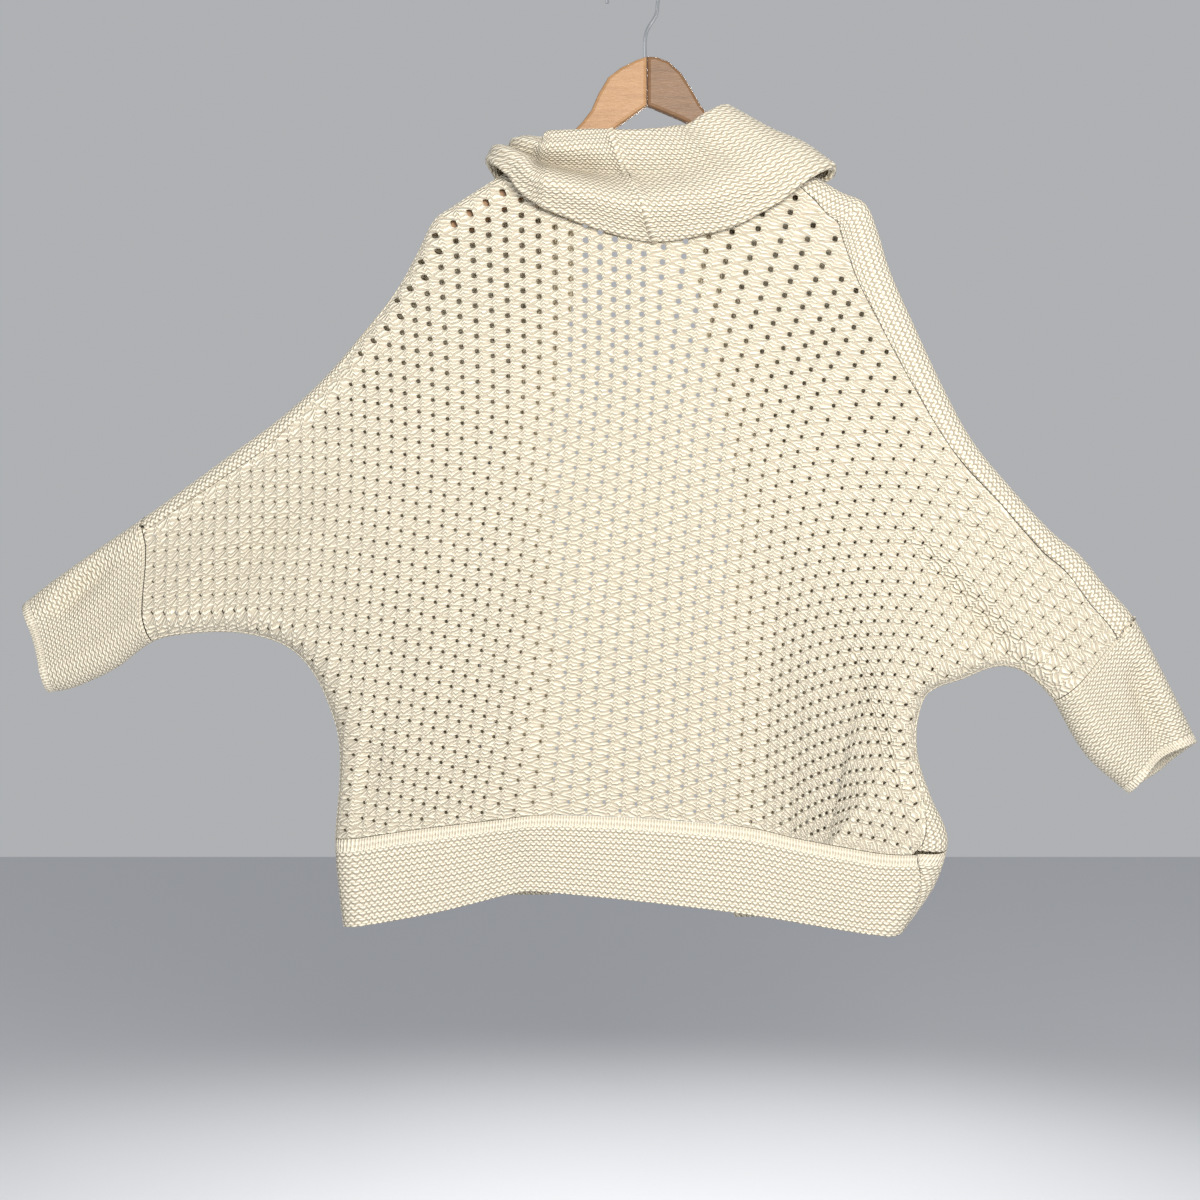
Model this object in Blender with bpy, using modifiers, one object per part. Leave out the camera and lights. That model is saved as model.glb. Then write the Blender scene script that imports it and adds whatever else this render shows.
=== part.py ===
"""Cocoon cardigan in openwork knit, hanging back side to the front on a wooden hanger.

Units are metres once a point reaches a mesh; the tables hold millimetres. The origin is the
inner top of the hook, +X is the garment's width, +Z is up and -Y is the side of its back.

The cloth is one hollow form, two walls thick, flat as it hangs. Each panel is drawn in a flat
plane, x and z, over the outline of the hanging garment. Near the outline the wall rolls over,
so a point drawn outside the outline lies on the other side of the garment.
"""
import math
from collections import namedtuple

import bmesh
import bpy
import numpy as np

MM = 0.001
UP = np.array([0.0, 1.0])
WALL = 3.0  # thickness of the knit
SEAM_GAP = 0.3  # clear space between two sewn pieces
SEAM_HALF = 0.8 * SEAM_GAP  # each side of a seam in the flat plane, where rolling narrows it
CUFF_GAP = 3.0 * SEAM_HALF  # from the sleeve's end to the cuff, which leaves it at a slant
SEAM_SMOOTH = 45.0  # the seams run by the outline's direction over this length
NEAR = 2.0  # reach over which the direction of an edge or a face is measured
LEAST_DROP = 1.0  # seam just inside the outline
HEM_DROP = 2.0
EDGE_ROLL = 26.0  # width over which a wall rolls round at the outline
SHOULDER_DEPTH = 15.0  # half the depth of the garment where the hanger fills it
BODY_DEPTH = 24.0  # half the depth of the garment lower down
SHOULDER_LEVEL = -200.0
BODY_LEVEL = -450.0
BACK, FRONT = -1.0, 1.0
NECK_CENTRE = (0.0, -214.0)

WOOD_THICKNESS = 12.0
WOOD_EDGE = 3.5  # rounding of the hanger's edges
MITRE_X = 14.5  # where the two halves of the hanger meet
WIRE = 3.8  # hook wire
HOOK_RADIUS = 25.5  # to the middle of the wire
STEM_X = 12.5
STEM_END = -100.0

Point = namedtuple("Point", "x z")
Section = namedtuple("Section", "top_share top_drop low_share low_drop steps")
Places = namedtuple("Places", "cuff_top cuff_low neck corner hem_corner mouth_top mouth_low front_x")
Fold = namedtuple("Fold", "side x0 z0 x1 z1 x2 z2 width depth")
Arm = namedtuple("Arm", "tip depth crown under")
Collar = namedtuple("Collar", "at stand lean roll turn fall crease bulge slide_fold slide_end")

# Outline of the hanging garment, clockwise as seen from its back.
SHOULDER_LEFT = [
    Point(-628, -640), Point(-610, -629), Point(-581, -606), Point(-530, -570), Point(-489, -542),
    Point(-439, -506), Point(-398, -476), Point(-352, -442), Point(-309, -403), Point(-270, -358),
    Point(-237, -316), Point(-215, -277), Point(-199, -245), Point(-179, -230), Point(-133, -200),
    Point(-72, -161), Point(17, -100),
]
SHOULDER_RIGHT = [
    Point(17, -100), Point(84, -144), Point(148, -180), Point(205, -214), Point(232, -227),
    Point(245, -255), Point(257, -294), Point(278, -342), Point(308, -407), Point(339, -464),
    Point(378, -512), Point(419, -556), Point(446, -578), Point(470, -607), Point(500, -641),
    Point(530, -697), Point(564, -766), Point(574, -786),
]
SIDE_RIGHT = [
    Point(512, -832), Point(496, -817), Point(460, -786), Point(441, -760), Point(421, -724),
    Point(402, -704), Point(388, -694), Point(371, -690), Point(353, -693), Point(329, -703),
    Point(305, -711), Point(291, -723), Point(284, -752), Point(286, -784), Point(299, -822),
    Point(312, -850), Point(314, -872), Point(301, -910), Point(272, -952), Point(262, -966),
]
SIDE_LEFT = [
    Point(-287, -965), Point(-289, -949), Point(-294, -908), Point(-297, -862), Point(-293, -808),
    Point(-293, -770), Point(-300, -738), Point(-318, -698), Point(-346, -670), Point(-390, -657),
    Point(-438, -657), Point(-479, -665), Point(-517, -692), Point(-558, -711), Point(-583, -716),
    Point(-600, -722),
]

# Edges drawn inside the outline.
BAND_TOP = [
    Point(-330, -864), Point(-295, -862), Point(-221, -851), Point(-139, -841), Point(-95, -836),
    Point(-30, -837), Point(41, -841), Point(113, -848), Point(162, -859), Point(210, -868),
    Point(247, -874), Point(280, -875), Point(360, -872),
]
HEM = [
    Point(-330, -955), Point(-289, -949), Point(-199, -933), Point(-126, -915), Point(-104, -911),
    Point(-74, -913), Point(16, -922), Point(113, -934), Point(210, -950), Point(240, -954),
    Point(272, -952), Point(300, -950),
]
NECK_BACK = [
    Point(-118, -190), Point(-107, -205), Point(-88, -211), Point(-45, -214), Point(0, -214),
    Point(40, -207), Point(72, -193), Point(92, -173), Point(102, -155),
]
FRONT_EDGE_LEFT = [
    Point(-118, -190), Point(-106, -208), Point(-98, -250), Point(-110, -330), Point(-136, -430),
    Point(-150, -520), Point(-154, -620), Point(-154, -1000),
]
FRONT_EDGE_RIGHT = [
    Point(102, -155), Point(93, -172), Point(93, -220), Point(108, -300), Point(138, -410),
    Point(166, -510), Point(177, -620), Point(177, -1000),
]

# Sections of the walls, from a cuff seam to the neck. The shares run along the outline: on top
# from the cuff seam to the neck, low down from the cuff seam to the top of the band. The drops
# are the distances in mm of the sewn seams inside the outline.
SECTIONS_LEFT = [
    Section(0.00, 14, 0.00, 2, 0),
    Section(0.28, 19, 0.30, 2, 6),
    Section(0.53, 5, 0.58, 2, 5),
    Section(0.69, 1, 0.80, 1, 3),
    Section(0.80, 1, 1.00, 1, 3),
]
SECTIONS_RIGHT = [
    Section(0.00, 30, 0.00, 2, 0),
    Section(0.28, 22, 0.30, 2, 6),
    Section(0.58, 34, 0.54, 2, 6),
    Section(0.76, 40, 0.80, 6, 3),
    Section(0.84, 24, 1.00, 34, 3),
]
HEM_SHARES = (0.06, 0.13, 0.21, 0.45, 0.72)  # sections from the side seam to the neck's
BACK_INNER = {"left": -165.0, "right": 170.0}  # x on the band where the neck's sections begin
NECK_EASE = (0.0, 0.07, 0.16, 0.27, 0.40, 0.55, 0.76, 1.0)  # along half the back neck
ROLL_ROWS = (0.33, 0.67, 1.0)  # rows of points over the rolled edge
STRIP_SHARES = (1.0, 0.9, 0.55, 0.22)  # rows of a front beyond the outline, from its seam
HANDLE = 0.3  # pull of a section's ends, as a share of its span
HANDLE_MOST = 70.0
CORNER_TILT = 0.4  # how far the last side section turns upward
CORNER_FROM = 0.6  # share of the side at which the sections begin to turn
HEM_TURN = 0.3  # share of the band over which they have turned wholly upward
MIDDLE_ROWS = 10
RELAX_TIMES = 18  # rounds of evening out between neighbouring sections
LIP = 0.8  # the row beside a seam keeps the wall square to it
CUFF_RINGS = (0.0, 0.16, 0.36, 0.58, 0.80, 1.0)
BAND_ROWS = (0.0, 0.33, 0.67, 1.0)
MOUTH_INSET = {"left": 8.0, "right": 20.0}  # sag of a mouth's edge
SAG_NEAR, SAG_FAR = 0.7, -0.3  # its shares on the back wall and on the front wall

# Folds push the wall inward along a curve. Their depth fades toward both ends.
FOLD_START, FOLD_SPAN, FOLD_POWER = 0.04, 0.92, 0.8
FOLDS = [
    Fold(BACK, -313, -524, -377, -580, -428, -639, 17, 9),
    Fold(BACK, -390, -542, -432, -584, -474, -626, 14, -4),
    Fold(BACK, -254, -761, -259, -796, -265, -832, 15, 7),
    Fold(BACK, -249, -683, -266, -722, -281, -762, 13, -5),
    Fold(BACK, -192, -584, -222, -740, -267, -880, 22, -4),
    Fold(BACK, -118, -664, -112, -790, -124, -909, 17, -4),
    Fold(BACK, -112, -850, -120, -880, -132, -910, 14, 4),
    Fold(BACK, 198, -644, 238, -758, 270, -842, 15, 9),
    Fold(BACK, 392, -704, 345, -648, 262, -560, 13, 12),
    Fold(BACK, 405, -680, 362, -624, 290, -560, 14, -4),
    Fold(BACK, 305, -520, 353, -580, 404, -662, 13, 4),
    Fold(BACK, -514, -580, -544, -610, -573, -640, 11, 15),
    Fold(BACK, 494, -686, 506, -720, 524, -778, 12, 14),
    Fold(FRONT, -300, -530, -370, -590, -430, -640, 17, 8),
    Fold(FRONT, -215, -420, -240, -620, -262, -830, 20, 6),
    Fold(FRONT, -200, -640, -206, -760, -214, -900, 18, -5),
    Fold(FRONT, 206, -520, 224, -690, 250, -850, 20, 8),
    Fold(FRONT, 390, -700, 340, -650, 268, -570, 15, 9),
    Fold(FRONT, 320, -500, 380, -580, 430, -680, 16, 5),
    Fold(FRONT, -520, -590, -550, -620, -578, -660, 13, 8),
    Fold(FRONT, 470, -680, 498, -730, 520, -785, 14, 8),
]

# Collar sections. at: 0 is the centre back, 1 the shoulder, 2 the foot of the front.
# stand, roll and fall are lengths in mm, lean and turn are degrees.
COLLAR_LEFT = [
    Collar(0.00, 50, 4, 6.0, 180, 104, 4, 9, -20, 18),
    Collar(0.30, 48, 4, 6.0, 180, 88, 9, 10, -12, 8),
    Collar(0.60, 44, 6, 6.5, 176, 66, 10, 8, -6, -8),
    Collar(0.85, 36, 14, 6.5, 168, 44, 6, 4, 0, 0),
    Collar(1.00, 22, 36, 6.5, 144, 34, 3, 3, 0, 0),
    Collar(1.08, 40, 20, 6.5, 160, 52, 0, 2, 0, 0),
    Collar(1.22, 42, 8, 6.0, 172, 66, 0, 3, 0, 0),
    Collar(1.38, 50, 8, 7.0, 160, 46, 0, 2, 0, 0),
    Collar(1.50, 56, 6, 12.0, 60, 8, 0, 0, 0, 0),
    Collar(1.60, 60, 2, 12.0, 6, 9, 0, 0, 0, 0),
    Collar(2.00, 60, 0, 12.0, 0, 9, 0, 0, 0, 0),
]
COLLAR_RIGHT = [
    Collar(0.00, 50, 4, 6.0, 180, 104, 4, 9, -20, 18),
    Collar(0.30, 46, 4, 6.5, 178, 104, 3, 8, -10, 14),
    Collar(0.60, 40, 6, 6.5, 176, 106, 2, 6, -4, 6),
    Collar(0.85, 30, 14, 6.0, 166, 112, 0, 3, 0, 0),
    Collar(1.00, 20, 30, 6.0, 150, 120, 0, 2, 0, 0),
    Collar(1.08, 28, 20, 6.0, 160, 112, 0, 2, 0, 0),
    Collar(1.22, 38, 8, 6.0, 172, 92, 0, 4, 0, 0),
    Collar(1.40, 48, 8, 7.0, 160, 56, 0, 2, 0, 0),
    Collar(1.54, 56, 6, 12.0, 60, 8, 0, 0, 0, 0),
    Collar(1.64, 60, 2, 12.0, 6, 9, 0, 0, 0, 0),
    Collar(2.00, 60, 0, 12.0, 0, 9, 0, 0, 0, 0),
]
RUN_IN = 4.0  # the collar leaves its seam in line with the panel
CREASE_AT, CREASE_WIDTH = 0.30, 0.15  # shares of the fall
BULGE_AT, BULGE_WIDTH = 0.72, 0.24
STAND_STEPS, ROLL_STEPS, FALL_STEPS = 2, 4, 6

# Wooden halves. The crown and the underside at the mitre show; tip and depth are the hidden arm.
ARMS = {
    "left": Arm((-188, -236), 23.0,
                [(-58, -152), (-50, -146), (-41.5, -135), (-34, -118), (-24.5, -102), (-11.5, -92),
                 (4, -84.5), (14.35, -81)],
                [(14.35, -130), (-17.5, -152.6), (-36, -165)]),
    "right": Arm((224, -222), 20.0,
                 [(86, -146), (76, -140), (67.5, -129), (58, -112), (48.5, -97.5), (36, -86),
                  (24, -81.5), (14.65, -81)],
                 [(14.65, -130), (48, -144), (71.5, -156)]),
}
ARM_STEPS = 7
ARM_INSET = 7.5  # the hidden arm's upper edge lies this far inside the outline
ARM_NOSE = 6.0  # rounding of the arm's tip
HOOK_TIP_ANGLE, HOOK_END_ANGLE, HOOK_STEPS = 187.0, -12.0, 22
HOOK_STEM = [Point(23.5, -39), Point(15, -53), Point(12.5, -64), Point(12.5, -82), Point(12.5, -100)]
STEM_HOLE = 40.0  # depth of the bore for the stem
STEM_PLAY = 0.4  # clear space round the stem

# Where the sewn edges meet the outline and the band.
PLACES = {
    "left": Places((-489, -542), (-479, -665), (-118, -190), (-297, -862), (-289, -949),
                   (-606, -626), (-583, -716), -154.0),
    "right": Places((500, -641), (421, -724), (102, -155), (314, -872), (272, -952),
                    (564, -766), (496, -817), 177.0),
}

MATERIALS = {
    "cream_knit": ((0.83, 0.76, 0.62), 0.92, 0.0),
    "light_wood": ((0.60, 0.38, 0.20), 0.45, 0.0),
    "dark_wood": ((0.48, 0.28, 0.13), 0.45, 0.0),
    "bright_steel": ((0.75, 0.75, 0.74), 0.22, 1.0),
}


def clear_scene():
    for item in list(bpy.data.objects):
        bpy.data.objects.remove(item, do_unlink=True)


def make_material(name):
    colour, roughness, metallic = MATERIALS[name]
    material = bpy.data.materials.new(name)
    material.use_nodes = True
    shader = material.node_tree.nodes["Principled BSDF"]
    shader.inputs["Base Color"].default_value = (*colour, 1.0)
    shader.inputs["Roughness"].default_value = roughness
    shader.inputs["Metallic"].default_value = metallic
    return material


def collection_named(name):
    collection = bpy.data.collections.new(name)
    bpy.context.scene.collection.children.link(collection)
    return collection


def smooth_line(points, spacing=3.0):
    """A smooth line through the points, resampled at even spacing along its length."""
    p = np.array([(q.x, q.z) for q in points], dtype=float)
    ends = np.vstack([2 * p[0] - p[1], p, 2 * p[-1] - p[-2]])
    t = np.linspace(0.0, 1.0, 16, endpoint=False)[:, None]
    pieces = []
    for a, b, c, d in zip(ends[:-3], ends[1:-2], ends[2:-1], ends[3:]):
        pull = 0.5 * ((c - a) * t + (2 * a - 5 * b + 4 * c - d) * t**2)
        pieces.append(b + pull + 0.5 * (3 * b - a - 3 * c + d) * t**3)
    dense = np.vstack(pieces + [p[-1:]])
    length = lengths_along(dense)
    count = max(2, int(round(length[-1] / spacing)) + 1)
    return at_length(dense, np.linspace(0.0, length[-1], count))


def lengths_along(line):
    steps = np.linalg.norm(np.diff(line, axis=0), axis=1)
    return np.concatenate([[0.0], np.cumsum(steps)])


def at_length(line, wanted):
    length = lengths_along(line)
    columns = [np.interp(wanted, length, line[:, k]) for k in range(line.shape[1])]
    return np.stack(columns, axis=-1)


def length_near(line, point):
    """How far along the line its point nearest to the given one lies."""
    return lengths_along(line)[np.argmin(np.linalg.norm(line - np.array(point), axis=1))]


def height_on(line, x):
    return np.interp(x, line[:, 0], line[:, 1])


def ease(value):
    value = np.clip(value, 0.0, 1.0)
    return value * value * (3.0 - 2.0 * value)


LINES = {
    "shoulder_left": smooth_line(SHOULDER_LEFT),
    "shoulder_right": smooth_line(SHOULDER_RIGHT),
    "side_right": smooth_line(SIDE_RIGHT),
    "side_left": smooth_line(SIDE_LEFT),
    "band_top": smooth_line(BAND_TOP),
    "hem": smooth_line(HEM),
    "neck": smooth_line(NECK_BACK, 1.0),
    "front_left": smooth_line(FRONT_EDGE_LEFT, 2.0),
    "front_right": smooth_line(FRONT_EDGE_RIGHT, 2.0),
}
OUTLINE = [LINES[k] for k in ("shoulder_left", "shoulder_right", "side_right", "side_left")]
OUTLINE_START = np.vstack([line[:-1] for line in OUTLINE])
OUTLINE_STEP = np.vstack([np.diff(line, axis=0) for line in OUTLINE])


def nearest_on_outline(flat):
    """Foot on the outline, direction into the cloth and signed distance for each flat point."""
    reach = flat[:, None, :] - OUTLINE_START[None]
    squared = (OUTLINE_STEP**2).sum(1)
    share = np.clip((reach * OUTLINE_STEP[None]).sum(2) / squared[None], 0.0, 1.0)
    feet = OUTLINE_START[None] + share[..., None] * OUTLINE_STEP[None]
    distance = np.linalg.norm(flat[:, None, :] - feet, axis=2)
    pick = distance.argmin(1)
    rows = np.arange(len(flat))
    foot = feet[rows, pick]
    step = OUTLINE_STEP[pick] / np.sqrt(squared[pick])[:, None]
    inward = np.stack([step[:, 1], -step[:, 0]], axis=1)
    away = flat - foot
    sign = np.where((away * inward).sum(1) >= 0.0, 1.0, -1.0)
    signed = sign * distance[rows, pick]
    far = np.abs(signed) > 0.5
    inward[far] = away[far] / signed[far, None]
    return foot, inward, signed


def fold_line(fold):
    share = np.linspace(0.0, 1.0, 61)[:, None]
    ends = [np.array(p, dtype=float) for p in ((fold.x0, fold.z0), (fold.x1, fold.z1), (fold.x2, fold.z2))]
    middle = 2 * ends[1] - 0.5 * (ends[0] + ends[2])
    return (1 - share) ** 2 * ends[0] + 2 * share * (1 - share) * middle + share**2 * ends[2]


FOLD_LINES = [(fold, fold_line(fold)) for fold in FOLDS]


def fold_depth(flat, side):
    """How far the folds push the wall into the garment at each flat point."""
    depth = np.zeros(len(flat))
    for fold, line in FOLD_LINES:
        if not (side == fold.side).any():
            continue
        distance = np.linalg.norm(flat[:, None, :] - line[None], axis=2)
        nearest = distance.argmin(1)
        along = nearest / (len(line) - 1)
        taper = np.sin(math.pi * (FOLD_START + FOLD_SPAN * along)) ** FOLD_POWER
        profile = np.exp(-((distance.min(1) / fold.width) ** 2)) * taper
        depth += np.where(side == fold.side, fold.depth * profile, 0.0)
    return depth


def cloth(points):
    """Points of the outer face of the garment's wall, in mm, from rows of x, z and side."""
    points = np.array(points, dtype=float)
    foot, inward, signed = nearest_on_outline(points[:, :2])
    reach = np.abs(signed)
    share = np.clip(reach / EDGE_ROLL, 0.0, 1.0)
    angle = 0.5 * math.pi * share
    distance = np.where(share < 1.0, EDGE_ROLL * (1.0 - np.cos(angle)), reach)
    place = foot + inward * distance[:, None]
    side = np.where(signed >= 0.0, points[:, 2], -points[:, 2])
    lower = ease((SHOULDER_LEVEL - place[:, 1]) / (SHOULDER_LEVEL - BODY_LEVEL))
    half = SHOULDER_DEPTH + (BODY_DEPTH - SHOULDER_DEPTH) * lower
    y = side * (half - fold_depth(place, side)) * np.sin(angle)
    return np.stack([place[:, 0], y, place[:, 1]], axis=1)


def on_side(flat, side):
    """Flat points with the side of the garment that they lie on."""
    flat = np.atleast_2d(flat)
    return np.column_stack([flat, np.full(len(flat), side)])


def flat_drop(drop):
    """Distance in the flat plane whose rolled place lies a real distance inside the outline."""
    if drop >= EDGE_ROLL:
        return drop
    return EDGE_ROLL * 2.0 / math.pi * math.acos(1.0 - drop / EDGE_ROLL)


def band_height(x):
    return height_on(LINES["band_top"], x)


class Half:
    """The left or right half of the garment: its outline, its sections and its front edge."""

    def __init__(self, name):
        self.name = name
        self.places = PLACES[name]
        left = name == "left"
        self.sense = 1.0 if left else -1.0
        self.top_line = LINES["shoulder_" + name][:: 1 if left else -1]
        self.low_line = LINES["side_" + name][:: -1 if left else 1]
        self.front_line = LINES["front_" + name]
        self.top_from = length_near(self.top_line, self.places.cuff_top)
        self.top_to = length_near(self.top_line, self.places.neck)
        self.low_from = length_near(self.low_line, self.places.cuff_low)
        self.low_to = length_near(self.low_line, self.places.corner)
        self.hem_to = length_near(self.low_line, self.places.hem_corner)
        self.rows = self.blend_rows(SECTIONS_LEFT if left else SECTIONS_RIGHT)
        self.corner = len(self.rows) - 1

    @staticmethod
    def blend_rows(table):
        rows = [table[0][:4]]
        for before, after in zip(table[:-1], table[1:]):
            for step in range(1, after.steps + 1):
                share = step / after.steps
                rows.append(tuple(a + (b - a) * share for a, b in zip(before[:4], after[:4])))
        return rows

    def foot(self, line, length, sense):
        """Point on an outline line, the direction into the cloth and a steadier one for seams."""
        directions = []
        for reach in (NEAR, SEAM_SMOOTH):
            ahead = at_length(line, length + reach) - at_length(line, length - reach)
            ahead = ahead / np.linalg.norm(ahead)
            directions.append(sense * np.array([ahead[1], -ahead[0]]))
        return at_length(line, length), directions[0], directions[1]

    def top(self, share):
        return self.foot(self.top_line, self.top_from + (self.top_to - self.top_from) * share, self.sense)

    def low(self, share):
        return self.foot(self.low_line, self.low_from + (self.low_to - self.low_from) * share, -self.sense)

    def sections(self, side, inner_x):
        """Sections of a half panel, from the cuff seam to the line next to the neck's."""
        out = []
        for top_share, top_drop, low_share, low_drop in self.rows:
            foot, inward, steady = self.low(low_share)
            turned = ease((low_share - CORNER_FROM) / (1.0 - CORNER_FROM))
            toward = blend(inward, UP, CORNER_TILT * turned)
            low = (foot, toward, foot + steady * (flat_drop(low_drop) - side * SEAM_HALF))
            out.append(self.section(top_share, top_drop, low, low_drop, side))
        tail = 1 if side == BACK else 1 + len(STRIP_SHARES)
        out[-1][-tail:, 1] += SEAM_HALF
        start_x = out[-1][-tail, 0]
        last_share, last_drop = self.rows[-1][:2]
        for step, share in enumerate(HEM_SHARES, 1):
            x = start_x + (inner_x - start_x) * share
            end = np.array([x, band_height(x) + SEAM_HALF])
            turned = CORNER_TILT + (1.0 - CORNER_TILT) * min(1.0, share / HEM_TURN)
            toward = blend(self.low(1.0)[1], UP, turned)
            on_top = step / (len(HEM_SHARES) + 1.0)
            top_share = last_share + (1.0 - last_share) * on_top
            top_drop = last_drop + (LEAST_DROP - last_drop) * on_top
            out.append(self.section(top_share, top_drop, (end, toward, None), 0.0, side, on_top))
        return out

    def front_bow(self):
        """How far the sewn front edge bows away from the plain curve between its ends."""
        start, inward, steady = self.top(1.0)
        end = np.array([self.places.front_x, band_height(self.places.front_x) + SEAM_HALF])
        plain = bezier(start, start + inward * HANDLE_MOST, end + UP * HANDLE_MOST, end)
        length = length_near(self.front_line, end)
        share = lengths_along(plain) / lengths_along(plain)[-1]
        return at_length(self.front_line, length * share) - plain

    def section(self, top_share, top_drop, low, low_drop, side, bow=0.0):
        """A curve from the upper to the lower edge of the cloth, as rows of x, z and side."""
        foot, inward, steady = self.top(top_share)
        low_foot, low_toward, low_seam = low
        seam = foot + steady * (flat_drop(top_drop) - side * SEAM_HALF)
        start = seam if side == BACK else foot
        end = low_seam if side == BACK and low_seam is not None else low_foot
        pull = min(HANDLE * np.linalg.norm(end - start), HANDLE_MOST)
        line = bezier(start, start + inward * pull, end + low_toward * pull, end)
        if side == FRONT and bow > 0.0:
            line = line + self.front_bow() * bow
        length = lengths_along(line)[-1]
        if side == BACK:
            return on_side(at_length(line, section_rows(length, top_drop, low_drop, side)), side)
        if low_seam is None:
            return np.vstack([strip(seam, foot), hem_ended(line, top_drop)])
        body = on_side(at_length(line, section_rows(length, top_drop, low_drop, side)), side)
        return np.vstack([strip(seam, foot), body, strip(low_seam, low_foot)[::-1]])

    def front_edge(self):
        """Points down the sewn edge of the open front, from its strip on the back side."""
        foot_x = self.places.front_x
        whole = self.front_line
        length = length_near(whole, (foot_x, band_height(foot_x) + SEAM_HALF))
        line = at_length(whole, np.linspace(0.0, length, 400))
        line[:, 0] -= self.sense * SEAM_HALF
        seam = at_length(neck_line(self.name), flat_drop(LEAST_DROP) - 3.0 * SEAM_HALF)
        seam[0] -= self.sense * SEAM_HALF
        return np.vstack([strip(seam, line[0]), hem_ended(line, LEAST_DROP)])

    def along_cuff(self, line, joint_length, mouth, share):
        """Point of an outline line at a share of the way from the cuff's seam to its mouth."""
        return at_length(line, joint_length + (length_near(line, mouth) - joint_length) * share)

    def sleeve_way(self):
        """Direction in which the cuff runs, from its seam to its mouth."""
        way = np.array(self.places.mouth_top, float) - np.array(self.places.cuff_top, float)
        return way / np.linalg.norm(way)

    def band_foot(self, share):
        """Outline point, seam point and row height at a share of the side band's depth."""
        length = self.low_to + (self.hem_to - self.low_to) * share
        foot, inward, steady = self.foot(self.low_line, length, -self.sense)
        drop = self.rows[-1][3] + (HEM_DROP - self.rows[-1][3]) * share
        return foot, steady, drop


def blend(first, second, share):
    mixed = first * (1.0 - share) + second * share
    return mixed / np.linalg.norm(mixed)


def hem_ended(line, top_drop):
    """Rows of a front's section that ends at the band. It has no strip, so its last row repeats."""
    length = lengths_along(line)[-1]
    rows = section_rows(length, top_drop, 0.0, FRONT)
    rows[-2] = length - LIP
    return on_side(at_length(line, np.concatenate([rows, [length] * len(STRIP_SHARES)])), FRONT)


def strip(seam, foot):
    """Rows of the narrow part of a front that reaches over the outline to its seam."""
    shares = np.array(STRIP_SHARES)[:, None]
    return on_side(foot + (seam - foot) * shares, BACK)


def bezier(start, first, second, end):
    t = np.linspace(0.0, 1.0, 80)[:, None]
    s = 1.0 - t
    return s**3 * start + 3 * s**2 * t * first + 3 * s * t**2 * second + t**3 * end


def end_rows(drop, side):
    """Distances from a section's end at which its first rows lie."""
    if side == FRONT:
        return [0.0] + [EDGE_ROLL * share for share in ROLL_ROWS]
    rolled = max(0.0, EDGE_ROLL - flat_drop(drop))
    return [0.0, LIP] + [LIP + rolled * share + 2.0 * LIP * k for k, share in enumerate(ROLL_ROWS, 1)]


def section_rows(length, top_drop, low_drop, side):
    """Distances along a section at which its rows of points lie."""
    first = end_rows(top_drop, side)
    last = end_rows(low_drop, side)
    room = length - first[-1] - last[-1]
    middle = [first[-1] + room * k / MIDDLE_ROWS for k in range(1, MIDDLE_ROWS)]
    return np.array(first + middle + [length - r for r in last[::-1]])


def neck_line(name):
    """The back neck, starting from the shoulder of the named side."""
    return LINES["neck"][:: 1 if name == "left" else -1]


def add_wall(name, grid, material, outward, closed=False, offset=-1.0):
    """A wall of cloth: an open surface through a grid of points, given its thickness."""
    grid = np.array(grid)
    rows, columns = grid.shape[:2]
    faces = []
    for i in range(rows - 1):
        for j in range(columns if closed else columns - 1):
            k = (j + 1) % columns
            ring = [grid[i, j], grid[i, k], grid[i + 1, k], grid[i + 1, j]]
            if min(np.linalg.norm(ring[n] - ring[n - 1]) for n in range(4)) > 0.01:
                here, below = i * columns, (i + 1) * columns
                faces.append((here + j, here + k, below + k, below + j))
    used = sorted({corner for face in faces for corner in face})
    place = {corner: n for n, corner in enumerate(used)}
    faces = [tuple(place[corner] for corner in face) for face in faces]
    mesh = bpy.data.meshes.new(name)
    mesh.from_pydata([tuple(p) for p in grid.reshape(-1, 3)[used] * MM], [], faces)
    mesh.update()
    total = np.zeros(3)
    for polygon, direction in zip(mesh.polygons, outward(mesh)):
        total += polygon.area * np.dot(polygon.normal, direction)
    if total.sum() < 0.0:
        mesh.flip_normals()
    mesh.shade_smooth()
    item = bpy.data.objects.new(name, mesh)
    item.data.materials.append(material)
    GARMENT.objects.link(item)
    solid = item.modifiers.new("Thickness", "SOLIDIFY")
    solid.thickness = WALL * MM
    solid.offset = offset
    return item


def facing(side):
    """Outward directions for a sheet that lies on one side of the garment."""
    return lambda mesh: [(0.0, side, 0.0)] * len(mesh.polygons)


def away_from_middle(mesh):
    """Outward directions for a tube whose middle lies at y 0."""
    return [(0.0, polygon.center.y, 0.0) for polygon in mesh.polygons]


def neck_points(name):
    """Points along half the back neck, from the shoulder to the centre back."""
    line = neck_line(name)
    start = flat_drop(LEAST_DROP)
    middle = length_near(line, NECK_CENTRE)
    return at_length(line, start + (middle - start) * np.array(NECK_EASE))


def back_sections():
    """Sections of the back panel from the left cuff seam to the right one."""
    left = HALVES["left"].sections(BACK, BACK_INNER["left"])
    right = HALVES["right"].sections(BACK, BACK_INNER["right"])
    neck = np.vstack([neck_points("left"), neck_points("right")[::-1][1:]])
    middle = []
    for k, start in enumerate(neck):
        share = k / (len(neck) - 1)
        x = BACK_INNER["left"] + (BACK_INNER["right"] - BACK_INNER["left"]) * share
        begin = start + np.array([0.0, -SEAM_HALF])
        end = np.array([x, band_height(x) + SEAM_HALF])
        line = bezier(begin, begin - UP * HANDLE_MOST, end + UP * HANDLE_MOST, end)
        rows = section_rows(lengths_along(line)[-1], LEAST_DROP, 0.0, BACK)
        middle.append(on_side(at_length(line, rows), BACK))
    return relaxed(left + middle + right[::-1], BACK)


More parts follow.
